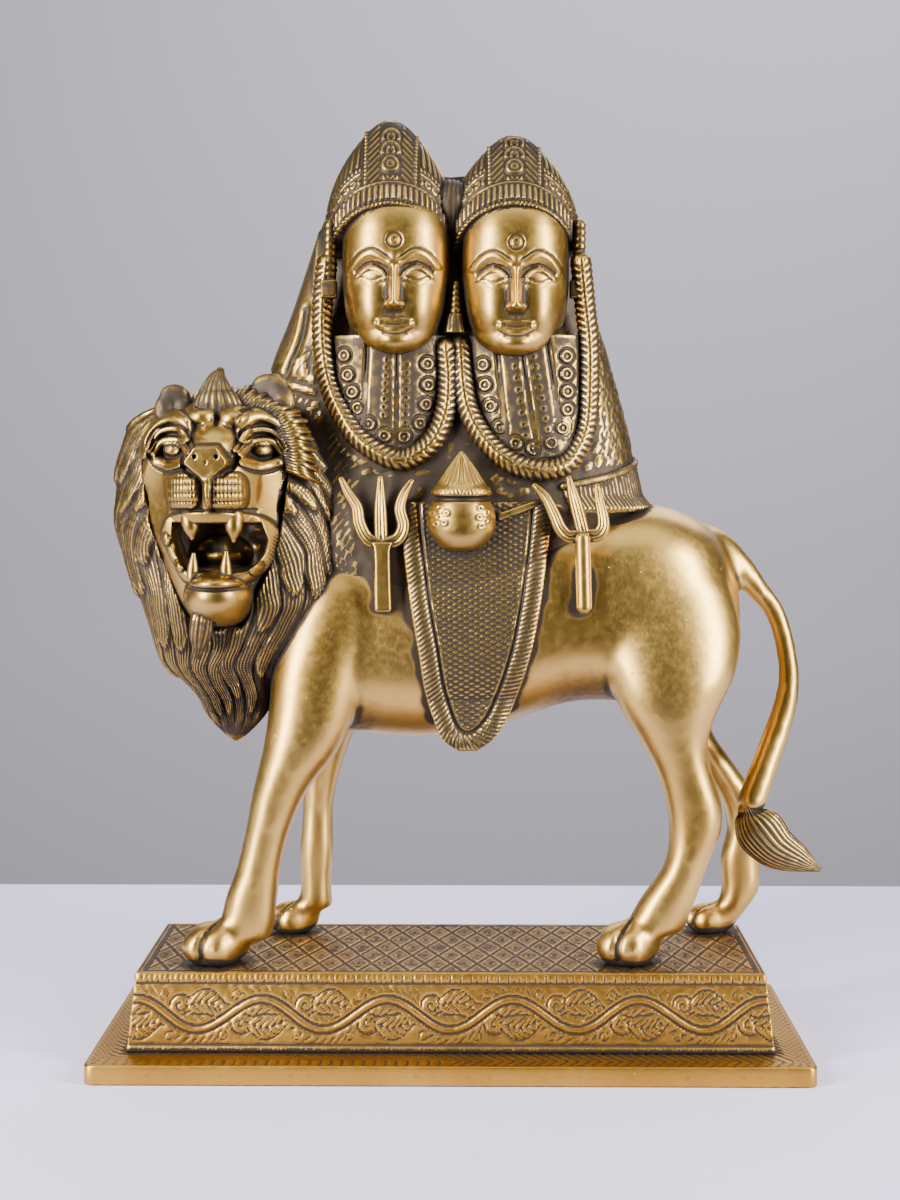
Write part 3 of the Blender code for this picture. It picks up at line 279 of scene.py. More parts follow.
def readRows(rows, place):
    # every later column of rows, read at places of the first one
    first, *others = np.asarray(rows, float).T
    return [np.interp(place, first, column) for column in others]


def ease(low, high, value):
    # smoothstep: 0 at low, 1 at high
    t = np.clip((value - low) / (high - low), 0, 1)
    return t * t * (3 - 2 * t)


def ridge(phase, sharpness=1.0):
    # rounded ridges with narrow grooves: the size of the sine of half the phase
    return np.abs(np.sin(phase / 2)) ** sharpness


def grooves(distance, period, sharpness=1.0):
    # ridges a period apart along a distance
    return ridge(fullTurn * distance / period, sharpness)


def bell(distance, width):
    # 1 at distance 0, falling as a Gaussian
    return np.exp(-((distance / width) ** 2))


def pillow(x, z, middle, radii, power=1.0):
    # a cushion of height 1: one less the squared distance in radii, to a power
    d = ((x - middle[0]) / radii[0]) ** 2 + ((z - middle[1]) / radii[1]) ** 2
    return np.clip(1 - d, 0, 1) ** power


def ring(x, z, middle, radius, width):
    # a raised circle: a bell over the distance from the circle
    return bell(np.hypot(x - middle[0], z - middle[1]) - radius, width)


def nearLine(x, z, line):
    # distance to a smooth line of x and z, and how far along it the nearest point is
    line = evenly(np.c_[np.asarray(line, float), np.zeros(len(line))], 64)[:, :2]
    best = np.full(np.shape(x), 1e9)
    along = np.zeros(np.shape(x))
    run = 0.0
    for a, b in zip(line, line[1:]):
        step = b - a
        length = np.hypot(*step)
        t = np.clip(((x - a[0]) * step[0] + (z - a[1]) * step[1]) / length**2, 0, 1)
        d = np.hypot(x - a[0] - t * step[0], z - a[1] - t * step[1])
        along = np.where(d < best, run + t * length, along)
        best = np.minimum(best, d)
        run += length
    return best, along


def roll(x, z, line, radius):
    # a round moulding of height 1 along a line: a half circle over the distance, eased at its foot
    d = nearLine(x, z, line)[0] / radius
    return np.sqrt(np.clip(1 - d**2, 0, 1)) * ease(1.0, 0.75, d)


lattice = np.random.default_rng(7).random((32, 32, 32))


def noise(x, y, z, scale, seed=0):
    # value noise from -1 to 1: random values on a lattice, blended by smoothstep
    corner, share = [], []
    for k, value in enumerate(np.broadcast_arrays(x, y, z)):
        value = np.asarray(value, float) / scale + 5.7 * seed + 3.1 * k
        whole = np.floor(value).astype(int)
        part = value - whole
        corner.append(whole)
        share.append(part * part * (3 - 2 * part))
    total = 0.0
    for i in (0, 1):
        for j in (0, 1):
            for k in (0, 1):
                weight = ((share[0] if i else 1 - share[0]) * (share[1] if j else 1 - share[1])
                          * (share[2] if k else 1 - share[2]))
                total = total + weight * lattice[(corner[0] + i) % 32, (corner[1] + j) % 32, (corner[2] + k) % 32]
    return 2 * total - 1


def grid(x, y, z):
    # points from three arrays of one shape
    return np.stack([x, y, z], axis=-1)


def runAlong(points):
    # how far along a line of points each one lies
    return np.r_[0, np.cumsum(np.linalg.norm(np.diff(points, axis=0), axis=1))]


def raised(rings, out, relief):
    # rings moved out by a height
    return rings + out * relief[..., None]


def fromEdges(levels):
    # rows of middle x and y, z, half width and half depth, from rows of z, left, right, front and back
    return [((b + c) / 2, (d + e) / 2, z, (c - b) / 2, (e - d) / 2) for z, b, c, d, e in levels]


def fromFront(rings, turn):
    # the signed way round each ring from the middle of its front, and the whole way round it
    run = np.cumsum(np.linalg.norm(np.roll(rings, -1, axis=1) - rings, axis=-1), axis=1)
    front = np.argmin(np.abs(np.mod(turn, fullTurn) - frontTurn))
    whole = run[:, -1:]
    way = run - run[:, front:front + 1]
    return np.where(way > whole / 2, way - whole, np.where(way < -whole / 2, way + whole, way)), whole


def closedRings(rings, stainAndShade=None):
    # a closed skin over rings of points, with a pole in the middle of each end ring
    count, sides = rings.shape[:2]
    points = np.vstack([rings.reshape(-1, 3), rings[0].mean(0), rings[-1].mean(0)])
    here = np.arange(count * sides).reshape(count, sides)
    beside = np.roll(here, -1, axis=1)
    quads = np.stack([here[:-1], beside[:-1], beside[1:], here[1:]], axis=-1).reshape(-1, 4)
    first, last = np.full(sides, count * sides), np.full(sides, count * sides + 1)
    fans = np.vstack([np.stack([beside[0], here[0], first], 1), np.stack([here[-1], beside[-1], last], 1)])
    stainAndShade = np.zeros(count * sides) if stainAndShade is None else np.broadcast_to(stainAndShade, (count, sides)).ravel()
    return points, quads, fans, np.r_[stainAndShade, stainAndShade[0], stainAndShade[-1]]


def closedPanel(front, depth, stainAndShade=None):
    # a grid of points, a wall that runs back from its rim by a depth along Y, and a pole behind
    rows, columns = front.shape[:2]
    here = np.arange(rows * columns).reshape(rows, columns)
    quads = np.stack([here[:-1, :-1], here[:-1, 1:], here[1:, 1:], here[1:, :-1]], axis=-1).reshape(-1, 4)
    rim = np.concatenate([here[0], here[1:, -1], here[-1, -2::-1], here[-2:0:-1, 0]])
    flat = front.reshape(-1, 3)
    behind = flat[rim] + (0, depth, 0)
    base = len(flat)
    there = base + np.arange(len(rim))
    wallFaces = np.stack([np.roll(rim, -1), rim, there, np.roll(there, -1)], axis=-1)
    fans = np.stack([np.roll(there, -1), there, np.full(len(rim), base + len(rim))], axis=-1)
    points = np.vstack([flat, behind, behind.mean(0)])
    stainAndShade = np.zeros(rows * columns) if stainAndShade is None else np.broadcast_to(stainAndShade, (rows, columns)).ravel()
    return points, np.vstack([quads, wallFaces]), fans, np.r_[stainAndShade, np.full(len(rim) + 1, 1.0)]


def roundTurn(sides, power, crowding=0.0):
    # angles round a ring, closer together in front, and the squared-off cosine and sine there
    t = np.linspace(0, fullTurn, sides, endpoint=False)
    turn = t - crowding * np.sin(t - frontTurn)
    cosine, sine = np.cos(turn), np.sin(turn)
    bend = 2 / power
    return turn, np.sign(cosine) * np.abs(cosine) ** bend, np.sign(sine) * np.abs(sine) ** bend


def columnRings(rows, count, sides, power=2.1, crowding=0.0):
    # level rings read from rows of x, y, z, half width, half depth; gives points, outward directions and turns
    heights = np.linspace(rows[0][2], rows[-1][2], steps(count))
    path = byHeight(rows, heights, 2)
    turn, cosine, sine = roundTurn(steps(sides), power, crowding)
    x = path[:, 0:1] + path[:, 3:4] * cosine
    y = path[:, 1:2] + path[:, 4:5] * sine
    z = np.broadcast_to(path[:, 2:3], x.shape).copy()
    rings = grid(x, y, z)
    return rings, outward(rings), turn


def outward(rings):
    # unit normals of a grid of rings, from the cross of its two directions
    around = np.roll(rings, -1, axis=1) - np.roll(rings, 1, axis=1)
    up = np.gradient(rings, axis=0)
    normal = np.cross(around, up)
    normal /= np.linalg.norm(normal, axis=-1, keepdims=True) + 1e-12
    centre = rings.mean(axis=1, keepdims=True)
    return normal * np.sign((normal * (rings - centre)).sum(axis=-1).mean())


def tubeRings(rows, count, sides):
    # rings square to a path read from rows of x, y, z, half width, half depth, with rounded ends
    path = evenly(rows, steps(count))
    along = np.gradient(path[:, :3], axis=0)
    along /= np.linalg.norm(along, axis=1)[:, None]
    caps = ((0.35, 0.94), (0.62, 0.78), (0.85, 0.53), (1.0, 0.10))
    head, tail = [], []
    for far, size in caps:
        head.insert(0, np.r_[path[0, :3] - along[0] * path[0, 3] * far, path[0, 3:] * size])
        tail.append(np.r_[path[-1, :3] + along[-1] * path[-1, 3] * far, path[-1, 3:] * size])
    along = np.vstack([[along[0]] * len(caps), along, [along[-1]] * len(caps)])
    path = np.vstack([head, path, tail])
    side = np.cross(along, (0.0, 1.0, 0.0))
    side /= np.linalg.norm(side, axis=1)[:, None]
    depth = np.cross(side, along)
    turn = np.linspace(0, fullTurn, steps(sides), endpoint=False)
    wide = (path[:, 3:4] * np.cos(turn))[:, :, None] * side[:, None, :]
    deep = (path[:, 4:5] * np.sin(turn))[:, :, None] * depth[:, None, :]
    rings = path[:, None, :3] + wide + deep
    run = runAlong(path[:, :3])
    out = wide + deep
    out /= np.linalg.norm(out, axis=-1, keepdims=True) + 1e-12
    return rings, out, turn[None, :], run[:, None]


def tube(rows, count, sides, relief=None):
    # rings round a path, with a relief of turn, run and length on them
    rings, out, turn, run = tubeRings(rows, count, sides)
    if relief is not None:
        rings = rings + out * np.broadcast_to(relief(turn, run, run[-1, 0]), rings.shape[:2])[..., None]
    return closedRings(rings)


def ball(middle, radii, turn=0.0, sides=24, relief=None, stainedAndShaded=None):
    # an ellipsoid turned about Z by degrees: longitude and latitude
    lift = np.radians(np.linspace(-88, 88, sides // 2 + 3))[:, None]
    around = np.linspace(0, fullTurn, sides, endpoint=False)[None, :]
    px = radii[0] * np.cos(lift) * np.cos(around)
    py = radii[1] * np.cos(lift) * np.sin(around)
    pz = radii[2] * np.sin(lift) * np.ones_like(around)
    stainAndShade = None if stainedAndShaded is None else stainedAndShaded(px / radii[0], py / radii[1], pz / radii[2])
    if relief is not None:
        size = 1 + relief(px / radii[0], py / radii[1], pz / radii[2])
        px, py, pz = px * size, py * size, pz * size
    c, s = math.cos(math.radians(turn)), math.sin(math.radians(turn))
    rings = np.stack([middle[0] + px * c - py * s, middle[1] + px * s + py * c, middle[2] + pz], axis=-1)
    return closedRings(rings, stainAndShade)


def signedVolume(points, quads, fans):
    # the sum of the triple products of all triangles, above 0 when they face outwards
    triangles = np.vstack([quads[:, :3], quads[:, [0, 2, 3]], fans]) if len(quads) else fans
    a, b, c = (points[triangles[:, k]] for k in range(3))
    return (a * np.cross(b, c)).sum()


def buildMesh(name, points, quads, fans):
    # a mesh with smooth shading from arrays of points, four-sided and three-sided faces
    mesh = bpy.data.meshes.new(name)
    corners = np.concatenate([quads.ravel(), fans.ravel()]).astype(np.int32)
    starts = np.concatenate([4 * np.arange(len(quads)), 4 * len(quads) + 3 * np.arange(len(fans))]).astype(np.int32)
    mesh.vertices.add(len(points))
    mesh.vertices.foreach_set("co", points.astype(np.float32).ravel())
    mesh.loops.add(len(corners))
    mesh.loops.foreach_set("vertex_index", corners)
    mesh.polygons.add(len(starts))
    mesh.polygons.foreach_set("loop_start", starts)
    mesh.update(calc_edges=True)
    mesh.validate()
    mesh.polygons.foreach_set("use_smooth", np.ones(len(mesh.polygons), bool))
    return mesh


def joinedSkins(skins):
    # skins put one after another, each turned to face outwards
    points, quads, fans, stainsAndShade, base = [], [], [], [], 0
    for skinPoints, skinQuads, skinFans, skinStainAndShade in skins:
        if signedVolume(skinPoints - skinPoints.mean(0), skinQuads, skinFans) < 0:
            skinQuads, skinFans = skinQuads[:, ::-1], skinFans[:, ::-1]
        points.append(skinPoints)
        quads.append(skinQuads + base)
        fans.append(skinFans + base)
        stainsAndShade.append(skinStainAndShade)
        base += len(skinPoints)
    return np.vstack(points), np.vstack(quads), np.vstack(fans), np.concatenate(stainsAndShade)


def readValues(items, key, width=1, kind=np.float32):
    # one value, or a few, of every item of a mesh
    values = np.empty(width * len(items), kind)
    items.foreach_get(key, values)
    return values


def meshArrays(mesh):
    # points, normals and edges
    points = readValues(mesh.vertices, "co", 3).reshape(-1, 3).astype(float)
    normals = readValues(mesh.vertex_normals, "vector", 3).reshape(-1, 3).astype(float)
    return points, normals, readValues(mesh.edges, "vertices", 2, np.int32).reshape(-1, 2)


def blended(values, edges, rounds):
    # each round moves a value half way to the mean of its neighbours'
    a, b = edges.T
    count = len(values)
    degree = np.maximum(np.bincount(a, minlength=count) + np.bincount(b, minlength=count), 1)
    for _ in range(rounds):
        total = np.bincount(a, values[b], count) + np.bincount(b, values[a], count)
        values = 0.5 * (values + total / degree)
    return values


def hollows(mesh, rounds):
    # how far the skin lies below its own smoothed shape, in units
    points, normals, edges = meshArrays(mesh)
    smooth = np.stack([blended(points[:, k], edges, rounds) for k in range(3)], axis=1)
    return ((smooth - points) * normals).sum(axis=1) / unit


def triangleCount(mesh):
    # a face of n corners counts as n less 2
    return sum(len(polygon.vertices) - 2 for polygon in mesh.polygons)


def setAttribute(mesh, name, values):
    # one number at each point, which the finishes read
    layer = mesh.attributes.get(name) or mesh.attributes.new(name, "FLOAT", "POINT")
    layer.data.foreach_set("value", np.asarray(values, np.float32))


madePieces = []


def addPiece(name, mesh, stainAndShade, finish, replaced, rounds):
    # finish, attributes, place in the scene and frame of one piece
    mesh.materials.append(finish)
    setAttribute(mesh, "hollow", hollows(mesh, rounds))
    setAttribute(mesh, "stainAndShade", stainAndShade)
    piece = bpy.data.objects.new(name, mesh)
    bpy.context.scene.collection.objects.link(piece)
    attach(piece, "root")
    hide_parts(replaced)
    madePieces.append(piece)
    print(f"piece: {name}, {triangleCount(mesh)} triangles")


def castPiece(name, skins, finish, rounds=10):
    # a piece of the figure, from skins in drawing units
    points, quads, fans, stainAndShade = joinedSkins(skins)
    mesh = buildMesh(name, points * unit + (0, 0, figureFoot), quads, fans)
    addPiece(name, mesh, stainAndShade, finish, "lion_and_goddess", rounds)


# the lion's body

lionForm = {
    "voxel": 1.25,
    "smoothing": 30,
    "barrelPower": 2.3,
    "barrel": [(-66, 101, 10, 9), (-60, 101, 23, 18), (-50, 105, 33, 24), (-35, 108.5, 35, 28), (-10, 108.5, 36.8, 30),
               (15, 110.5, 34.8, 30), (40, 115, 31.5, 28.5), (62, 116.3, 33, 28), (78, 114, 31.5, 25),
               (88, 111, 26, 18), (95, 109.5, 11, 8)],
    "legs": [
        [(-36, -14, 128, 12, 10), (-36, -17, 118, 17, 13), (-42, -20, 98, 15.5, 12), (-45, -21, 82, 14, 11),
         (-48.5, -21, 70, 12.5, 10), (-55, -20.5, 57, 9.2, 8.5), (-59.5, -20, 43, 7.4, 7.4), (-62.5, -19.5, 31, 7.4, 7),
         (-64.8, -19, 22, 8.6, 7.2), (-66, -18.5, 14, 9, 7.5), (-66.5, -18.5, 7, 8, 6.5)],
        [(-37, 10, 112, 10, 8), (-38, 13, 102, 14.5, 12), (-38, 15, 90, 14, 12), (-43, 18, 68, 8.5, 8.5),
         (-46, 19.5, 46.5, 5.5, 6), (-46.7, 20, 30, 6, 6), (-47, 20.5, 18, 5.5, 5.8), (-47, 21, 8, 6, 6)],
        [(68, -13, 124, 22, 12), (69, -15, 110, 25, 15), (71, -19, 95, 21, 13.5), (70.5, -20, 84, 16.3, 12),
         (72, -20, 73, 11.2, 9.5), (75.5, -19.5, 63, 9.2, 8), (78.5, -19, 54, 9.3, 7.5), (79.5, -18.5, 44, 8.8, 7.2),
         (76.5, -18, 32, 7.4, 7), (70.6, -17.5, 20, 9.4, 7.4), (66, -17.2, 9, 10, 7.2)],
        [(72, 10, 122, 12, 8), (73, 13, 110, 18, 12), (75, 15, 98, 16, 12.5), (78, 18, 82, 9.6, 10),
         (82.4, 19, 71, 6.8, 8), (89.6, 20, 61, 6.4, 6.8), (98.6, 22, 47.5, 6.5, 6.4), (101, 22.5, 37, 5.9, 6.2),
         (99.8, 23, 26, 7.2, 6.2), (100.2, 23, 15, 6.8, 6), (95.5, 23, 5, 5.2, 5)],
    ],
    # middle, radii and turn of each paw, how far its toes turn, and how wide the cleft between them is
    "paws": [
        ((-76.5, -19.5, 5.6), (12.5, 8.2, 7.8), 30, 60, 0.75),
        ((-55, 21.5, 4.4), (9.8, 6.4, 6.2), 18, 40, 0.7),
        ((58, -18.5, 5.6), (12.0, 8.2, 7.8), 26, 58, 0.75),
        ((90, 23.5, 4.0), (9.8, 6.2, 6.0), 8, 25, 0.7),
    ],
    "cleftDepth": 2.0,
    # how dark the belly's underside is painted, as shade
    "bellyPaintedShade": 0.62,
    "tail": [(74, 2, 135, 9, 9), (86, 3, 135.5, 6.4, 6.4), (96, 4, 128, 4.9, 4.9), (103, 5, 119.3, 4.0, 4.0),
             (108, 5, 113, 3.7, 3.7), (111.8, 5, 101, 3.6, 3.6), (113, 5, 89, 4.0, 3.8), (111.3, 4.5, 79.5, 4.4, 4.1),
             (107.8, 3, 69.3, 4.8, 4.4), (103.6, 0, 59, 5.0, 4.5), (100, -2, 50, 5.4, 4.6)],
}


def barrelSkin():
    # upright rings along X: y and z are a squared-off cosine and sine times the half depth and half height
    path = evenly([(x, 0, z, high, deep) for x, z, high, deep in lionForm["barrel"]], 60)
    _, cosine, sine = roundTurn(60, lionForm["barrelPower"])
    x = np.broadcast_to(path[:, 0:1], (60, 60))
    return closedRings(np.stack([x, path[:, 4:5] * cosine, path[:, 2:3] + path[:, 3:4] * sine], axis=-1))


def flankY(x, z):
    # how far forward the near side of the barrel stands
    middle, high, deep = readRows(lionForm["barrel"], x)
    share = np.clip(np.abs(z - middle) / high, 0, 0.985)
    power = lionForm["barrelPower"]
    return -deep * (1 - share**power) ** (1 / power)


def remeshed(name, skins, voxel, smoothing):
    # one closed skin round many: voxels of a size, then each point moved towards its neighbours
    points, quads, fans, _ = joinedSkins(skins)
    rough = bpy.data.objects.new(name, buildMesh(name, points, quads, fans))
    bpy.context.scene.collection.objects.link(rough)
    skin = rough.modifiers.new("one_skin", "REMESH")
    skin.mode = "VOXEL"
    skin.voxel_size = voxel
    soften = rough.modifiers.new("soften", "SMOOTH")
    soften.factor = 0.5
    soften.iterations = smoothing
    graph = bpy.context.evaluated_depsgraph_get()
    mesh = bpy.data.meshes.new_from_object(rough.evaluated_get(graph))
    bpy.data.objects.remove(rough)
    return mesh


def lionBody():
    # barrel, tail, legs and paws under one skin, then clefts and their stains on it, and painted shade under the belly
    skins = [barrelSkin(), tube(lionForm["tail"], 90, 20)]
    for leg in lionForm["legs"]:
        skins.append(closedRings(columnRings(leg[::-1], 70, 36)[0]))
    for middle, radii, turn, toeTurn, _ in lionForm["paws"]:
        skins.append(ball(middle, radii, turn, 32))
        c, s = math.cos(math.radians(toeTurn)), math.sin(math.radians(toeTurn))
        for side in (-0.52, 0.52):  # two toes swell in front
            toe = (middle[0] + 0.8 - 0.24 * radii[0] * c - side * radii[1] * s,
                   middle[1] - 0.10 * radii[0] * s + side * radii[1] * c, middle[2])
            skins.append(ball(toe, (0.66 * radii[0], 0.58 * radii[1], 0.98 * radii[2]), toeTurn, 24))
    mesh = remeshed("lion_body", skins, lionForm["voxel"], lionForm["smoothing"])
    points, normals, _ = meshArrays(mesh)
    stainAndShade = np.zeros(len(points))
    for middle, radii, _, toeTurn, width in lionForm["paws"]:
        # the cleft is a bell across the paw, over its front and top
        c, s = math.cos(math.radians(toeTurn)), math.sin(math.radians(toeTurn))
        dx, dy = points[:, 0] - middle[0] - 0.8, points[:, 1] - middle[1]
        ahead, across = -(dx * c + dy * s), -dx * s + dy * c
        reach = ease(-0.45 * radii[0], 0.1 * radii[0], ahead) * ease(0.3, 2.0, points[:, 2])
        near = (np.abs(dx) < 1.5 * radii[0]) & (np.abs(dy) < 2 * radii[1]) & (points[:, 2] < 2 * radii[2])
        cleft = bell(across, width) * reach * near
        points -= normals * (lionForm["cleftDepth"] * cleft)[:, None]
        stainAndShade = np.maximum(stainAndShade, 0.9 * bell(across, 0.8 * width) * reach * near)
    # the belly's underside is darkened towards the patina colour: painted shade where it faces down
    x, _, z = points.T
    under = ease(-0.2, -0.8, normals[:, 2]) * ease(72, 76, z) * ease(-62, -50, x) * ease(66, 54, x)
    stainAndShade = np.maximum(stainAndShade, lionForm["bellyPaintedShade"] * under)
    points[:, 2] = np.maximum(points[:, 2], 0.0)
    mesh.vertices.foreach_set("co", (points * unit + (0, 0, figureFoot)).astype(np.float32).ravel())
    mesh.update()
    mesh.polygons.foreach_set("use_smooth", np.ones(len(mesh.polygons), bool))
    addPiece("lion_body", mesh, stainAndShade, satinBrass, "lion_and_goddess", 12)


lionBody()

tuftForm = {
    "rows": [(98.5, -3, 47, 3.2, 2.8), (99.6, -3, 44.5, 6.0, 4.2), (102.4, -3.5, 40.6, 8.2, 5.0),
             (107.8, -4, 35, 7.2, 4.6), (115.5, -4.5, 31, 4.6, 3.2), (122.4, -5, 27.6, 0.8, 0.8)],
    "strands": 26,
    "depth": 0.75,
}


def tuftLocks(turn, run, length):
    # ridges that wind along the tuft, fading at its ends by a sine
    share = run / length
    strand = ridge(tuftForm["strands"] * turn + 1.5 * np.sin(3 * turn) + 2.2 * share, 0.6)
    return tuftForm["depth"] * (strand - 0.8) * np.sin(math.pi * np.clip(share, 0.02, 0.98)) ** 0.5


castPiece("tail_tuft", [tube(tuftForm["rows"], 56, 112, tuftLocks)], carvedBrass)


# the lion's head

faceOutline = {
    "z": [104, 112, 119, 131.8, 144.5, 160, 170, 176, 180, 184, 190],
    "left": [-78, -83, -86.5, -91, -95.4, -97.4, -96.6, -93.6, -89.6, -84, -79],
    "right": [-66, -63.5, -61, -55, -51.8, -50.0, -49.6, -50.6, -53, -57, -64],
}


def outlineAt(z):
    # where the face's left and right edges are
    return (np.interp(z, faceOutline["z"], faceOutline["left"]), np.interp(z, faceOutline["z"], faceOutline["right"]))


maneForm = {
    "rings": [(185, -80, -61, -26, -14), (181.5, -91, -51, -33, -5), (175, -102, -47, -38, 4),
              (165, -107, -41, -38, 12), (155, -108.5, -35.5, -38, 17), (144, -109.3, -33, -38, 20),
              (131, -106, -33.3, -37, 20), (119, -101.6, -35, -36, 16), (111, -98.5, -40, -34, 11),
              (104, -96, -46, -32, 7), (97, -92.5, -54, -29, 2), (88, -82.8, -57.5, -26, -4),
              (81, -78.4, -60.5, -24, -9), (75, -74, -65.5, -20.5, -13.5), (72.4, -70.8, -68.8, -18, -16)],
    "strandWidth": 1.45,
    "strandDepth": 0.8,
    "lockStrands": 6.0,
    "lockDepth": 1.7,
    "lockLength": 27.0,
    "stepDepth": 1.3,
    "slant": 0.75,
    "rows": 138,
    "sides": 390,
}


def maneFlow(a, z, narrowing):
    # the phase of the strands: even across the unrolled mane, slanting outwards above the jaw and drawn
    # together below it
    out = np.abs(a) * narrowing
    lean = maneForm["slant"] * 9.0 * np.log1p(np.exp((z - 133) / 9.0))
    return out + lean


def mane():
    # rings with locks: rounded bundles of strands that end in steps, and a hole for the face
    rows = fromEdges(maneForm["rings"][::-1])
    rings, out, turn = columnRings(rows, maneForm["rows"], maneForm["sides"], power=2.15, crowding=0.42)
    x, y, z = rings[..., 0], rings[..., 1], rings[..., 2]
    a, whole = fromFront(rings, turn)
    narrowing = (whole.max() / whole) ** 0.75
    warp = 3.4 * noise(x, y, z, 17, 1) + 0.9 * noise(x, y, z, 6, 2)
    flow = maneFlow(a, z, narrowing) + warp
    lock = flow / (maneForm["strandWidth"] * maneForm["lockStrands"]) + 0.35 * noise(x, y, z, 24, 3)
    number = np.floor(lock)
    middle = lock - number - 0.5
    shift = np.mod(np.sin(number * 12.9898 + np.where(a > 0, 4.1, 0.0)) * 43.758, 1.0)
    down = -z / maneForm["lockLength"] + shift + 1.1 * middle**2
    fall = np.mod(down, 1.0)
    tipStep = fall * ease(1.0, 0.93, fall)
    strand = ridge(fullTurn * flow / maneForm["strandWidth"] + 6.0 * shift, 0.75)
    body = np.sqrt(np.clip(1 - (2 * middle) ** 2, 0, 1))
    fade = ease(74, 84, z) * ease(186, 176, z)
    relief = maneForm["lockDepth"] * (body - 0.75) + maneForm["stepDepth"] * (tipStep - 0.45)
    relief = fade * (relief + maneForm["strandDepth"] * (strand - 0.7))
    left, right = outlineAt(z)
    inside = ease(0.5, 3.5, np.minimum(x - left, right - x)) * ease(110, 114, z) * ease(187, 182, z) * (y < -8)
    rings = raised(rings, out, relief)
    rings[..., 1] += 17 * inside
    stainAndShade = 0.40 + 0.55 * ease(0.32, 0.5, np.abs(middle)) + 0.45 * ease(0.6, 0.15, strand) + 0.5 * inside
    castPiece("lion_mane", [closedRings(rings, stainAndShade)], carvedBrass, 8)


mane()

lionFaceForm = {
    "low": 107.0,
    "high": 185.5,
    "rows": 224,
    "columns": 196,
    "spread": 1.12,
    "foremost": 54.4,
    "eyes": [(-86.8, 167.0), (-58.4, 166.8)],
    # height, radius and line of each lid round an eye
    "lids": [(3.4, 1.5, [(-5.8, -1.4), (-2.9, 2.1), (2.7, 2.3), (6.0, -1.2)]),
             (2.8, 1.25, [(-7.3, -0.4), (-3.6, 5.2), (3.0, 5.4), (7.5, 0)]),
             (3.6, 1.9, [(-4.9, -3.9), (0, -5.2), (5.1, -3.9)])],
    "padFront": 55.6,
    "padMiddle": -74.0,
    "tickWidth": 1.15,
    "tickRow": 2.55,
    "pads": [(-82.2, 153.7, 6.1, 5.9), (-68.3, 153.6, 6.3, 6.3)],
    "hairReach": 3.4,
    "upperLip": [(-88.4, 139.0), (-87.4, 143.0), (-84, 145.0), (-74.2, 145.6), (-62.5, 144.8), (-57.0, 142.6),
                 (-55.0, 138.4), (-56.2, 133.2), (-60.0, 129.4)],
    "lowerLip": [(-83.6, 130.4), (-81, 127.4), (-72.6, 126.4), (-63.6, 127.4), (-60.4, 130.2)],
    "leftRim": [(-88.4, 139.5), (-86.8, 134), (-83.6, 130.2)],
    "brows": [
        [(-96.2, 166.0), (-94.2, 173.0), (-87.6, 177.2), (-82.4, 174.6), (-82.0, 170.6)],
        [(-63.4, 170.6), (-63.4, 175.0), (-58.6, 178.0), (-51.4, 174.0), (-48.6, 164.6)],
    ],
    "bumps": [(-77.6, 178.2), (-66.6, 177.2)],
    "fangs": [(-80.2, 146.0, -79.6, 139.4, -44.0, 3.2), (-66.6, 145.8, -66.8, 138.6, -44.0, 3.2),
              (-79.8, 127.5, -79.4, 134.2, -42.6, 2.0), (-69.4, 127.5, -69.2, 134.8, -43.0, 2.1)],
}


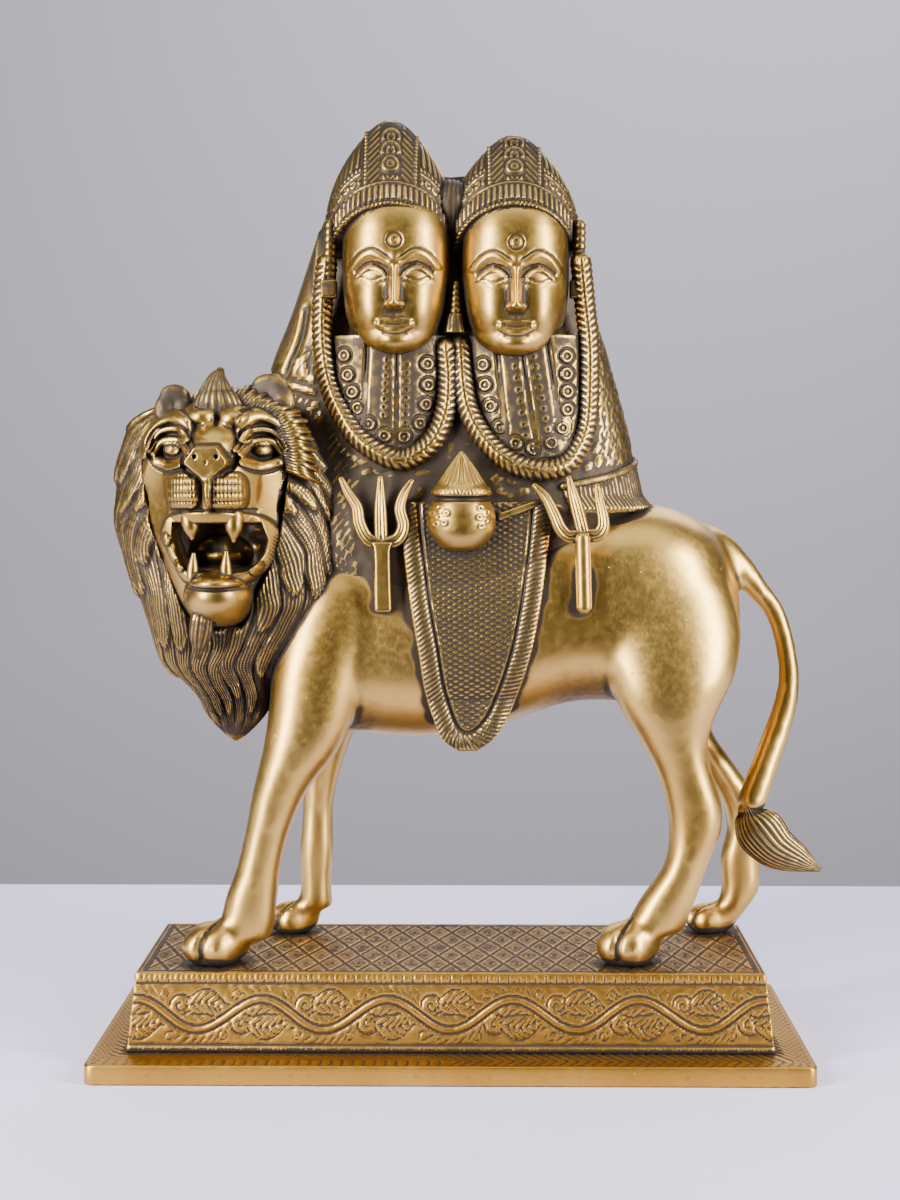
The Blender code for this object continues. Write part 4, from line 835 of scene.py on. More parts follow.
def lionHeight(x, z):
    # how far the face stands in front of y = 0, and how stained it is: a rounded block, with pillows and rolls
    # added to it
    form = lionFaceForm
    left, right = outlineAt(z)
    middle, half = (left + right) / 2, (right - left) / 2 * form["spread"]
    across = np.clip(np.abs(x - middle) / half, 0, 1)
    up = np.clip(np.abs(z - 148) / 42, 0, 1)
    h = 20 + 21.5 * (1 - across**2.8) ** 0.5 * (1 - up**3.4) ** 0.5
    h -= 0.07 * np.clip(z - 175, 0, 20) ** 2
    h += 2.2 * pillow(x, z, (-73, 179), (17, 9)) + 8.6 * pillow(x, z, (-74, 156.5), (15.5, 17.5), 1.1)
    h -= 2.0 * pillow(x, z, (-92, 152), (5, 12)) + 2.0 * pillow(x, z, (-55, 152), (5, 12))
    stainAndShade = 0 * h
    # eyes: a socket, a ball, two upper lids and a lower one
    for ex, ez in form["eyes"]:
        h -= 4.6 * pillow(x, z, (ex, ez + 0.2), (8.6, 8.4), 0.9)
        h += 3.6 * pillow(x, z, (ex, ez - 0.3), (3.3, 2.3), 0.5)
        for lidHeight, radius, line in form["lids"]:
            h += lidHeight * roll(x, z, np.array(line) + (ex, ez), radius)
        rim = np.hypot((x - ex) / 8.2, (z - ez - 0.2) / 7.9)
        stainAndShade = np.maximum(stainAndShade, 0.75 * bell(rim - 0.97, 0.10) + 0.35 * ease(0.95, 0.8, rim))
    for line in form["brows"]:
        h += 3.2 * roll(x, z, line, 2.7)
    for spot in form["bumps"]:
        h += 2.8 * pillow(x, z, spot, (4.8, 4.0), 0.8)
        pit = pillow(x, z, (spot[0] + (0.6 if spot[0] < -74 else 3.4), spot[1] + 1.6), (2.4, 1.0), 0.6)
        h -= 1.7 * pit
        stainAndShade = np.maximum(stainAndShade, 0.7 * pit)
    cleft = roll(x, z, [(-71.6, 182.0), (-72.2, 174.6)], 1.0)
    h -= 2.2 * cleft
    stainAndShade = np.maximum(stainAndShade, 0.8 * cleft)
    # nose: a dome, the pad below it with two dots, and a curled nostril at each end
    h += 3.8 * pillow(x, z, (-72.4, 170.0), (7.6, 6.0), 0.9)
    padHalf = np.interp(z, [156.6, 158.4, 160.2, 162.2, 163.4, 165.4, 167.4], [1.4, 2.6, 5.0, 7.4, 7.2, 5.6, 4.2])
    mid = form["padMiddle"]
    padWay = ease(0, 1.2, padHalf - np.abs(x - mid)) * ease(156.4, 157.8, z) * ease(168.2, 166.8, z)
    h = h * (1 - padWay) + padWay * (form["padFront"] - 0.16 * (x - mid) ** 2 / 7 + 0.12 * (z - 163))
    for side in (-1, 1):
        curl = roll(x, z, [(mid + side * 8.2, 163.8), (mid + side * 7.6, 161.2), (mid + side * 4.6, 158.8)], 0.9)
        dot = pillow(x, z, (mid + side * 3.3, 164.4), (0.85, 0.85), 0.5)
        h -= 2.4 * curl + 2.6 * dot
        stainAndShade = np.maximum(stainAndShade, np.maximum(0.8 * curl, dot))
    speck = pillow(x, z, (-73.9, 162.6), (0.55, 0.55), 0.5)
    h -= 1.8 * speck
    stainAndShade = np.maximum(stainAndShade, 0.8 * speck)
    # whisker pads: squared cushions with rows of upright ticks
    for padX, padZ, wide, high in form["pads"]:
        out = np.abs((x - padX) / wide) ** 3 + np.abs((z - padZ) / high) ** 3
        cushion = np.clip(1 - out, 0, 1) ** 0.45
        tick = grooves(x, form["tickWidth"], 0.6)
        row = grooves(z - 148.2, form["tickRow"], 0.35)
        h += 3.4 * cushion - cushion * (0.5 * (1 - tick) + 1.1 * (1 - row))
        stainAndShade = np.maximum(stainAndShade, cushion * np.maximum(0.95 * ease(0.8, 0.4, row), 0.5 * ease(0.6, 0.2, tick)))
        stainAndShade = np.maximum(stainAndShade, 0.8 * bell(out - 1.05, 0.16))
    h += 3.0 * roll(x, z, [(-73.9, 156.6), (-74.3, 148.8)], 1.6)
    # chin and lips
    h += 9.5 * pillow(x, z, (-72.4, 119.6), (11.2, 8.8), 0.55)
    h += 2.6 * np.minimum(1.5 * roll(x, z, form["upperLip"], 2.3), 1)
    h += 4.0 * roll(x, z, form["lowerLip"], 2.6) + 1.8 * roll(x, z, form["leftRim"], 1.5)
    seam = bell(z - 148.0, 0.4) * ease(-88, -86, x) * ease(-58, -61, x)
    seam = seam + bell(z - 123.6, 0.5) * ease(11, 9.5, np.abs(x + 72.4))
    h -= 0.8 * seam
    stainAndShade = np.maximum(stainAndShade, 0.8 * seam)
    # the open mouth, with a tongue
    mouthLeft = np.interp(z, [128.4, 131, 134, 139, 144.6], [-80.4, -83.4, -85.4, -86.6, -86.0])
    mouthRight = np.interp(z, [128.4, 131, 134, 139, 144.6], [-63.4, -59.8, -57.8, -56.8, -58.6])
    inside = np.minimum(np.minimum(x - mouthLeft, mouthRight - x), np.minimum(144.2 - z, z - 128.6))
    opening = ease(0.0, 1.3, inside)
    throat = 26 + 4 * pillow(x, z, (-72.2, 133.5), (9.5, 6.5), 0.8) + 1.2 * noise(x, 0 * x, z, 3, 5)
    # hair combed away from the face over its upper and right rim, strands round a middle point
    angle = np.arctan2(z - 152, x + 74)
    lowEdge = np.interp(x, [-92, -84, -77, -70, -60, -52], [178.5, 180.2, 180.6, 180.0, 179.4, 176.5])
    rim = np.maximum(ease(0, 1.6, z - lowEdge), ease(form["hairReach"], 1.4, right - x) * ease(126, 134, z))
    strand = ridge(150 * angle + 2.0 * noise(x, z, 0 * x, 7, 9), 0.7)
    h += rim * (1.0 * strand - 0.7) * (1 - opening)
    stainAndShade = np.maximum(stainAndShade, rim * (0.35 + 0.5 * ease(0.75, 0.3, strand)))
    h = np.minimum(h, form["foremost"] + 0.15 * (h - form["foremost"]))
    return h * (1 - opening) + throat * opening, np.maximum(stainAndShade, opening)


def lionHead():
    # the face as a panel of heights, and four fangs
    form = lionFaceForm
    z = np.linspace(form["low"], form["high"], steps(form["rows"]))[:, None]
    t = np.linspace(-1, 1, steps(form["columns"]))[None, :]
    left, right = outlineAt(z)
    x = (left + right) / 2 + (right - left) / 2 * form["spread"] * t
    z = np.broadcast_to(z, x.shape)
    h, stainAndShade = lionHeight(x, z)
    skins = [closedPanel(grid(x, -h, z), 8.0, stainAndShade)]
    for topX, topZ, tipX, tipZ, y, radius in form["fangs"]:
        fang = [(topX, y, topZ, radius, radius),
                ((topX + tipX) / 2, y - 0.4, (topZ + tipZ) / 2, 0.8 * radius, 0.8 * radius), (tipX, y, tipZ, 0.7, 0.7)]
        skins.append(tube(fang, 14, 18))
    castPiece("lion_face", skins, polishedBrass, 12)


lionHead()

headTrim = {
    "ears": [((-86.2, -33, 179.0), (6.4, 3.8, 6.4), 10), ((-56.6, -31, 181.4), (8.2, 4.2, 7.2), -8)],
    "skull": ((-73, -16, 171), (23, 17, 16)),
    "lockCount": 36,
    # the face's edge from the forelock round the right ear and down the cheek
    "edge": [(-68, 181.4, -33.5), (-61, 180.0, -34.5), (-54, 177.0, -35), (-50.2, 170.6, -35), (-48.4, 160, -35)],
    "forelock": [(-72.6, -30, 172, 13, 6), (-72.6, -34.5, 180, 8.6, 5.2), (-72.9, -34.5, 184.6, 5.6, 3.8),
                 (-72.6, -34, 188.6, 3.2, 2.6), (-71.8, -33.0, 191.2, 1.2, 1.2)],
    "beard": [(-77.4, -40, 114, 3.6, 3.2), (-78.2, -39, 108, 3.2, 2.8), (-79.2, -37, 101.4, 0.7, 0.7)],
}


def combed(count, depth):
    # winding ridges, fading at both ends by a sine
    def relief(turn, run, length):
        share = np.clip(run / length, 0, 1)
        return depth * (ridge(count * turn + 2.5 * share, 0.6) - 0.8) * np.sin(math.pi * (0.06 + 0.9 * share)) ** 0.4
    return relief


def headTrims():
    # ears, forelock, the skull's hair, locks round the face and the beard
    skins = []
    # hollowed in front, and drawn to a point above
    dent = lambda px, pz: bell(px + 0.15, 0.5) * bell(pz - 0.3, 0.6)
    cup = lambda px, py, pz: 0.26 * ease(0.6, 1.0, pz) - 0.6 * dent(px, pz) * ease(0.1, -0.6, py)
    shade = lambda px, py, pz: 1.2 * dent(px, pz) * ease(0.1, -0.5, py)
    for middle, radii, turn in headTrim["ears"]:
        skins.append(ball(middle, radii, turn, 64, cup, shade))
    skins.append(tube(headTrim["forelock"], 60, 120, combed(20, 0.55)))
    # the top of the skull, with hair combed back from the face
    strand = lambda px, py: ridge(fullTurn * (px * 11 + 0.8 * np.sin(3 * py)), 0.6)
    hair = lambda px, py, pz: 0.03 * (strand(px, py) - 0.8) * ease(-0.5, 0.1, py)
    skins.append(ball(*headTrim["skull"], 0, 104, hair))
    edge = evenly(headTrim["edge"], headTrim["lockCount"])
    for number, (x, z, y) in enumerate(edge):
        away = np.array([x + 79.0, z - 166.0])
        away /= np.hypot(*away)
        reach = 6.0 + 1.0 * math.sin(2.4 * number)
        drop = -0.064 * number
        lock = [(x - 2.4 * away[0], y + 0.6, z - 2.4 * away[1], 0.9, 1.0),
                (x + 0.4 * reach * away[0], y - 0.6, z + 0.4 * reach * away[1] + 0.3 * drop, 1.25, 1.3),
                (x + reach * away[0], y + 3.4, z + reach * away[1] + drop, 0.7, 0.7)]
        skins.append(tube(lock, 12, 12, combed(3, 0.2)))
    skins.append(tube(headTrim["beard"], 36, 72, combed(12, 0.5)))
    castPiece("lion_ears_and_forelock", skins, carvedBrass, 5)


headTrims()

# the shawl and the two chests

shawlForm = {
    "rings": [(110, -38, 40, -26, 20), (120, -46, 44, -28, 24), (132, -56, 48, -28.5, 25), (142, -64, 55, -28, 25),
              (148, -67, 64.5, -27, 25), (152, -66.5, 61.5, -26, 24.5), (171, -62, 58.3, -22, 23.5),
              (191, -59.6, 53, -18, 22), (211, -52, 47.2, -14, 20), (230, -45.6, 42.8, -12, 18.5),
              (240, -42.2, 40.4, -11, 17), (249, -37.5, 37.3, -9, 13), (254, -31, 31, -7, 8.5),
              (256.5, -20, 20, -5, 4)],
    "power": 2.5,
    "folds": 30,
    "foldDepth": 1.2,
    "rows": 134,
    "sides": 214,
    # small rings carved in groups: x, z
    "carvedRings": [(-49.6, 195.6), (-47.2, 196.8), (-47.9, 194.2), (-50.2, 193.0), (-47.4, 191.6),
               (46.6, 167.2), (43.9, 161.6), (47.2, 162.9), (13.6, 156.3), (15.5, 158.2), (15.6, 153.0),
               (18.9, 152.6), (19.1, 156.6), (23.8, 153.6), (-43.5, 181.0), (-45.6, 178.6), (-42.0, 177.2),
               (-10.4, 152.6), (-13.2, 150.2), (-10.6, 147.8), (-26.8, 160.4), (-18.0, 158.8), (48.6, 153.6)],
}
twinForms = [
    {"faceX": -17.6, "faceZ": 217.0, "crownX": -19.6, "crownTop": 272.2, "chestX": -19.0},
    {"faceX": 20.6, "faceZ": 216.2, "crownX": 20.0, "crownTop": 267.4, "chestX": 24.0},
]


def shawlY(x, z):
    # how far forward the shawl's front stands
    left, right, front, back = readRows(shawlForm["rings"], z)
    share = np.clip(np.abs(x - (left + right) / 2) / ((right - left) / 2), 0, 0.97)
    power = shawlForm["power"]
    return (front + back) / 2 - (back - front) / 2 * (1 - share**power) ** (1 / power)


def chestY(x, z):
    # the nearer of the shawl and two round chests, each a half ellipse of x
    nearest = shawlY(x, z)
    for twin in twinForms:
        share = np.clip(np.abs(x - twin["chestX"]) / 21.0, 0, 1)
        nearest = np.minimum(nearest, -10.0 - 14.0 * np.sqrt(1 - share**2) + 0 * z)
    return nearest


def shawl():
    # rings with pleats behind, borders and rings in front, and the two chests
    rows = fromEdges(shawlForm["rings"])
    rings, out, turn = columnRings(rows, shawlForm["rows"], shawlForm["sides"], power=shawlForm["power"], crowding=0.3)
    x, y, z = rings[..., 0], rings[..., 1], rings[..., 2]
    behind = ease(-0.35, 0.25, np.sin(turn))[None, :]
    ahead = 1 - behind
    sway = 0.8 * np.sin(z / 17) + 0.5 * noise(x, y, z, 30, 4)
    pleat = ridge(shawlForm["folds"] * turn + 2.2 * sway, 0.8)
    relief = shawlForm["foldDepth"] * behind * ease(112, 135, z) * ease(253, 240, z) * (pleat - 0.55)
    # the left edge: a smooth strip, a groove, a border with rings and a hem below
    hemZ = 190.9 - 0.29 * (x + 57)
    onLeft = ahead * (x < -43)
    strip = nearLine(x, z, [(-46.8, 212), (-48.6, 202), (-53.2, 191)])[0]
    relief += onLeft * ease(hemZ - 0.5, hemZ + 0.5, z) * (0.8 - 1.5 * bell(strip, 0.9))
    relief += onLeft * (0.9 * bell(z - hemZ + 1.9, 1.2) - 1.0 * bell(z - hemZ, 0.5) - 1.0 * bell(z - hemZ + 3.8, 0.5))
    below = ahead * ease(hemZ - 3.8, hemZ - 4.6, z) * (x < -30)
    relief += below * 0.5 * (grooves(z + 0.7 * x, 1.7, 0.7) - 0.5)
    # the right side: leaf scales
    onRight = ahead * ease(46.5, 48.5, x) * ease(160, 163, z) * ease(224, 216, z)
    row = (z - 160) / 3.4
    number = np.floor(row)
    cell = np.mod((x + 1.9 * np.mod(number, 2)) / 3.8, 1) - 0.5
    leaf = np.hypot(2.0 * cell, 1.3 * (row - number - 0.35))
    relief += onRight * (0.45 * ease(1.0, 0.7, leaf) - 0.6 * bell(leaf - 0.45, 0.13))
    # rings with a dot, and worn texture between them
    rough = 0.22 * noise(x, y, z, 1.6, 6) + 0.12 * noise(x, y, z, 5, 7)
    relief += ahead * ease(216, 206, z) * (x > -44) * (x < 46) * rough
    for cx, cz in shawlForm["carvedRings"]:
        near = (np.abs(x - cx) < 4) & (np.abs(z - cz) < 4) & (y < 4)
        relief += near * (0.9 * ring(x, z, (cx, cz), 0.95, 0.4) + 0.3 * bell(np.hypot(x - cx, z - cz), 0.45))
    rings = raised(rings, out, relief)
    rings[..., 2] -= 6.0 * bell(x, 8.0) * ease(238, 254, z)
    stainAndShade = ahead * ease(-46, -43, x) * ease(47, 44, x) * 0.95
    stainAndShade = np.maximum(stainAndShade, 0.85 * below)
    # painted shade: the shawl's front above z 230, seen in the valley between the crowns, is darkened fully
    stainAndShade = np.maximum(stainAndShade, 4.0 * ease(230, 240, z) * ahead)
    stainAndShade = stainAndShade - behind * (0.40 + 0.85 * ease(0.85, 0.3, pleat))
    skins = [closedRings(rings, stainAndShade)]
    for twin in twinForms:
        cx, fx = twin["chestX"], twin["faceX"]
        chest = [(cx, -6, 150, 19, 14), (cx, -7, 160, 21, 17), (cx, -7, 182, 20, 17.4), (cx * 0.97, -7, 200, 17, 16),
                 (fx, -6, 214, 12, 12)]
        rings, out, _ = columnRings(chest, 50, 70, 2.3)
        rough = 0.35 * noise(rings[..., 0], rings[..., 1], rings[..., 2], 2.4, 8)
        skins.append(closedRings(raised(rings, out, rough), 1.0))
    castPiece("shawl", skins, carvedBrass, 10)


shawl()

# the two faces: calm, by thirds from the crown's rim to the chin

faceForm = {
    "height": 42.0,
    "visibleHeight": 45.6,
    "halfWidth": 17.0,
    "front": -31.0,
    "back": 2.0,
    "profile": [(0.00, 0.26, 9.0), (0.035, 0.50, 4.8), (0.10, 0.70, 2.4), (0.20, 0.84, 1.5), (0.33, 0.94, 0.9),
                (0.52, 1.00, 0.4), (0.72, 1.01, 0.2), (0.88, 1.00, 0.6), (1.00, 0.97, 1.6), (1.12, 0.86, 3.8),
                (1.18, 0.5, 7.0)],
    "rows": 120,
    "sides": 120,
}


def faceRelief(dx, z, chin):
    # brow, eyes, nose and mouth as pillows and rolls over the egg of the head, by thirds of its height
    third = faceForm["visibleHeight"] / 3
    browZ, noseZ = chin + 2 * third, chin + third
    eyeZ, mouthZ = browZ - 0.32 * third, noseZ - 0.36 * third
    side = np.abs(dx)
    h = 1.5 * pillow(dx, z, (0, chin + 4.6), (6.0, 4.4), 1.3)
    h -= 1.5 * pillow(side, z, (6.6, eyeZ + 0.8), (6.6, 4.6), 1.3)
    h += 1.5 * pillow(side, z, (8.6, noseZ + 0.6), (7.0, 8.0), 1.3)
    h += 1.35 * pillow(side, z, (6.9, eyeZ - 0.2), (4.3, 2.3), 0.65)
    lids = [(2.7, eyeZ - 1.1), (4.3, eyeZ + 1.1), (7.0, eyeZ + 2.1), (9.7, eyeZ + 1.1), (12.0, eyeZ - 0.9)]
    h += 0.95 * roll(side, z, lids, 0.85)
    h -= 0.55 * roll(side, z, [(px, pz + 1.6) for px, pz in lids[1:]], 0.5)
    h += 0.4 * roll(side, z, [(3.1, eyeZ - 1.5), (6.8, eyeZ - 2.7), (11.0, eyeZ - 1.2)], 0.7)
    h -= 0.45 * roll(side, z, [(3.3, eyeZ - 0.8), (6.8, eyeZ - 1.9), (10.8, eyeZ - 0.7)], 0.35)
    h += 0.8 * roll(side, z, [(1.9, browZ - 1.4), (6.4, browZ + 1.5), (10.4, browZ + 0.7), (13.6, browZ - 2.4)], 1.3)
    h -= 0.45 * roll(side, z, [(2.3, browZ + 0.6), (6.4, browZ + 3.1), (10.9, browZ + 2.1), (14.4, browZ - 1.6)], 0.45)
    # the nose rises from the brow to its tip and falls quickly below it
    rise = ease(browZ + 0.5, noseZ + 1.0, z)
    width = np.interp(z, [noseZ, noseZ + 3, browZ], [2.3, 1.6, 1.35])
    h += (0.9 + 3.9 * rise) * ease(noseZ - 1.6, noseZ + 0.6, z) * ease(browZ + 3, browZ - 1, z) * bell(side, width)
    h += 1.3 * pillow(side, z, (1.9, noseZ + 0.9), (1.35, 1.3), 0.9)
    h -= 0.4 * roll(side, z, [(2.8, noseZ + 2.2), (3.4, noseZ + 0.7), (2.7, noseZ - 0.6)], 0.45)
    h -= 0.25 * bell(side, 0.7) * ease(mouthZ + 1.8, mouthZ + 2.4, z) * ease(noseZ - 0.6, noseZ - 1.4, z)
    # closed lips with a soft smile
    upper = roll(side, z, [(0, mouthZ + 0.6), (1.5, mouthZ + 1.0), (5.0, mouthZ + 0.6)], 1.35)
    lower = roll(side, z, [(0, mouthZ - 1.0), (2.3, mouthZ - 0.8), (4.6, mouthZ + 0.3)], 1.55)
    h += np.maximum(0.85 * upper, 1.05 * lower)
    h -= 0.5 * roll(side, z, [(0, mouthZ + 0.0), (2.2, mouthZ + 0.2), (5.6, mouthZ + 0.8)], 0.38)
    h -= 0.35 * pillow(side, z, (5.9, mouthZ + 0.8), (1.1, 1.1))
    h -= 0.35 * roll(dx, z, [(-3.4, mouthZ - 2.7), (0, mouthZ - 3.3), (3.4, mouthZ - 2.7)], 0.8)
    # a ring mark on the forehead
    mark = (0, browZ + 5.6)
    h += 0.6 * ring(dx, z, mark, 1.0, 0.5) - 0.7 * ring(dx, z, mark, 2.3, 0.4)
    return h


def twinFace(number, twin):
    # an egg of rings with the relief in front
    chin = twin["faceZ"] - faceForm["height"] / 2
    rows = []
    for share, size, inset in faceForm["profile"]:
        front = faceForm["front"] + inset
        rows.append((twin["faceX"], (front + faceForm["back"]) / 2, chin + faceForm["height"] * share,
                     faceForm["halfWidth"] * size, (faceForm["back"] - front) / 2))
    rings, _, turn = columnRings(rows, faceForm["rows"], faceForm["sides"], power=2.25, crowding=0.55)
    x, z = rings[..., 0], rings[..., 2]
    ahead = ease(0.15, -0.25, np.sin(turn))[None, :]
    h = faceRelief(x - twin["faceX"], z, chin) * ahead
    rings[..., 1] -= h
    castPiece(f"goddess_face_{number}", [closedRings(rings)], polishedBrass, 10)


for number, twin in enumerate(twinForms, 1):
    twinFace(number, twin)

# the crowns

crownForm = {
    "rimZ": 236.0,
    "y": -6.5,
    "profile": [(-0.22, 19.6, 19.0), (0.00, 20.6, 21.0), (0.17, 20.3, 20.2), (0.34, 18.9, 18.2), (0.50, 16.6, 15.6),
                (0.66, 13.4, 12.6), (0.80, 9.6, 9.2), (0.91, 6.2, 6.2), (0.98, 2.6, 3.0), (1.00, 0.8, 1.0)],
    "arch": 8.4,
    "archHalf": 19.0,
    "ropeTwist": 1.25,
    "fluteWidth": 1.8,
    "tallFlute": 2.5,
    "panelHalf": 8.3,
    "valley": ((0.2, -10.5, 243.5), (7.4, 10.0, 9.6)),
    "rows": 106,
    "sides": 212,
}


def crownRelief(s, h, dx, front, stretch):
    # s runs round the crown from the middle of its front, h counts up from the arched rim, dx is level
    form = crownForm
    side = np.abs(dx)
    r = -3.2 * ease(0.2, -0.2, h)
    rope = np.clip(1 - ((h - 1.0) / 1.0) ** 2, 0, 1) ** 0.5
    r += rope * (1.3 + 0.45 * np.sin(fullTurn * (s + 0.5 * h) / form["ropeTwist"]))
    band = ease(2.1, 2.7, h) * ease(7.5, 6.9, h)
    r += band * (0.8 + 1.1 * (grooves(s, form["fluteWidth"], 0.8) - 0.6))
    r += 0.9 * bell(h - 7.9, 0.45)
    above = ease(8.3, 8.6, h)
    # middle panel: a stack of arches and a ring between feathers and cords
    panel = above * ease(form["panelHalf"] + 0.9, form["panelHalf"] + 0.4, side) * front
    up = 8.0 + (h - 8.0) * stretch
    r += panel * (0.9 + 0.4 * np.sin(fullTurn * h / 1.3)) * bell(side - form["panelHalf"] + 0.6, 0.6)
    feather = ease(3.3, 3.7, side) * ease(7.2, 6.8, side)
    r += panel * feather * 1.0 * (grooves(h + 0.8 * side, 2.1, 0.8) - 0.55)
    r += panel * (1.0 * ring(dx, up, (0, 14.2), 2.4, 0.55) + 0.8 * ring(dx, up, (0, 14.2), 1.0, 0.45))
    for middle, radius, under in ((10.2, 2.2, True), (18.8, 2.8, False), (23.4, 2.6, False)):
        part = ease(middle + 0.6, middle - 0.2, up) if under else ease(middle - 1.6, middle - 0.8, up)
        part = part * panel
        d = np.hypot(dx, up - middle)
        r += part * (1.0 * bell(d - radius, 0.5) + 0.7 * bell(d - 0.45 * radius, 0.4))
        r += part * 0.5 * (grooves(dx, 1.5, 0.7) - 0.6) * ease(radius - 0.2, radius - 0.8, d)
    # beside it: a band of rings, a row of beads and tall flutes
    flank = above * (1 - ease(form["panelHalf"] + 1.0, form["panelHalf"] + 0.5, side) * front)
    spot = np.mod(s / 2.7, 1) * 2.7 - 1.35
    r += flank * (ease(8.6, 8.9, h) * ease(12.6, 12.3, h) * 0.4 + 0.8 * bell(np.hypot(spot, h - 10.6) - 0.85, 0.35))
    r += flank * (0.8 * bell(h - 13.0, 0.4) - 0.5 * bell(h - 12.4, 0.3))
    r += flank * 0.9 * bell(h - 14.6, 0.9) * grooves(s, 1.5, 0.7)
    tall = flank * ease(15.6, 16.4, h)
    r += tall * 1.5 * (grooves(s, form["tallFlute"], 0.6) - 0.6)
    return r


def crown(number, twin):
    # rings with the relief above an arched rim, and a rope over the crest
    rise = twin["crownTop"] - crownForm["rimZ"]
    rows = []
    for share, wide, deep in crownForm["profile"]:
        y, z = crownForm["y"] - 1.5 * max(share, 0), crownForm["rimZ"] + rise * share
        rows.append((twin["crownX"], y, z, wide, deep))
    rings, out, turn = columnRings(rows, crownForm["rows"], crownForm["sides"], power=2.15, crowding=0.35)
    s, _ = fromFront(rings, turn)
    x, y, z = rings[..., 0], rings[..., 1], rings[..., 2]
    lean = 0.3 * (twin["faceX"] - twin["crownX"])
    away = np.clip(np.abs(s - lean) / crownForm["archHalf"], 0, 1.35)
    rim = crownForm["rimZ"] - 2.0 + crownForm["arch"] * (1 - away**2)
    ahead = ease(0.1, -0.1, np.sin(turn))[None, :]
    relief = crownRelief(s - lean, z - rim, x - twin["crownX"] - lean, ahead, 36.6 / rise)
    relief = relief * ease(twin["crownTop"] - 0.3, twin["crownTop"] - 2.5, z)
    # a rope runs over the crest, where the crown is widest from front to back
    crest = np.clip(1 - ((y - crownForm["y"] + 1.5) / 1.5) ** 2, 0, 1) ** 0.5 * ease(257, 260, z)
    relief = relief * (1 - crest) + crest * (0.3 + 0.3 * np.sin(fullTurn * (z + 0.7 * np.abs(s)) / 1.5))
    rings = raised(rings, out, relief)
    stainAndShade = 0.8 * ease(0.0, -1.0, z - rim) + 0.32 + 0.16 * ease(8, 10, z - rim)
    skins = [closedRings(rings, stainAndShade)]
    if number == 1:
        # the fluted saddle that fills the valley between the two crowns, darkened wholly: painted shade in the valley
        flutes = lambda px, py, pz: 0.05 * (ridge(fullTurn * px * 5.2, 0.7) - 0.6)
        skins.append(ball(*crownForm["valley"], 0, 80, flutes, lambda px, py, pz: 2.5 + 0 * px))
    castPiece(f"crown_{number}", skins, carvedBrass, 8)


for number, twin in enumerate(twinForms, 1):
    crown(number, twin)

# garlands, dress panels and ear ornaments

garlandForm = {
    "lines": [
        [(-39.6, 226), (-41, 213), (-41, 200), (-39, 188), (-35.2, 179), (-29, 170), (-19, 163.8), (-12.5, 164.3),
         (-5.5, 169.7), (-1.6, 179), (-0.8, 189), (-1.6, 199)],
        [(3, 200), (3.8, 188.6), (5.6, 179), (11, 169.7), (19, 162.7), (28.4, 160.2), (36.4, 161.8), (41.3, 168),
         (43.8, 176), (44.4, 188.6), (44.2, 201), (42.8, 213.7), (41.4, 226)],
    ],
    "radius": 3.2,
    "scale": 2.15,
    "rows": 320,
    "sides": 36,
}


def garlandScales(turn, run, length):
    # crescents that lap along the rope, meeting in a row of small beads on its crest
    across = np.angle(np.exp(1j * (turn - frontTurn)))
    crescent = ridge(fullTurn * (run / garlandForm["scale"] - 0.55 * np.abs(across)), 0.7)
    bead = np.mod(run / 1.6, 1) * 1.6 - 0.8
    crest = bell(across, 0.33)
    dots = bell(np.hypot(across * garlandForm["radius"], bead) - 0.45, 0.3)
    return 0.85 * (crescent - 0.6) * (1 - crest) + crest * (0.2 + 0.5 * dots)


for number, line in enumerate(garlandForm["lines"], 1):
    thick = garlandForm["radius"]
    rope = [(x, min(float(chestY(x, z)), -16.0) - 1.0, z, thick, thick) for x, z in line]
    castPiece(f"garland_{number}", [tube(rope, garlandForm["rows"], garlandForm["sides"], garlandScales)],
              carvedBrass, 6)

dressForm = {
    "rows": 92,
    "columns": 84,
    "low": 164.0,
    "high": 203.0,
    "bossRings": [(0.7, 1.55, 0.5), (-0.9, 2.5, 0.35), (-0.5, 0.85, 0.3), (0.5, 0, 0.45)],
    "panels": [
        {
            "edge": 0,
            "lines": [[(-26.3, 201), (-27.7, 175.7)], [(-17.0, 200), (-17.3, 166)]],
            "rings": [[(-20.0, 195), (-21.2, 177.6)], [(-13.9, 193.5), (-14.4, 175.1)]],
            "bosses": [(-34.1, 196.6), (-32.9, 190.4), (-31.4, 185.0), (-29.6, 179.8), (-26.0, 174.7), (-21.0, 170.9),
                       (-14.7, 170.7), (-9.7, 174.9), (-7.9, 181.0), (-7.2, 187.2), (-7.4, 193.8)],
        },
        {
            "edge": 1,
            "lines": [[(14.4, 201), (17.8, 170.5)], [(22.0, 201), (27.8, 165)], [(30.4, 201), (34.5, 175.8)]],
            "rings": [[(20.0, 196.5), (23.8, 170.9)], [(26.0, 196), (30.7, 173.1)]],
            "bosses": [(10.2, 193.6), (10.9, 187.2), (12.7, 180.4), (15.7, 173.6), (20.7, 168.5), (26.2, 166.9),
                       (32.0, 168.8), (35.6, 173.5), (37.2, 179.4), (37.2, 185.1), (36.9, 190.7), (36.9, 196.2)],
        },
    ],
}


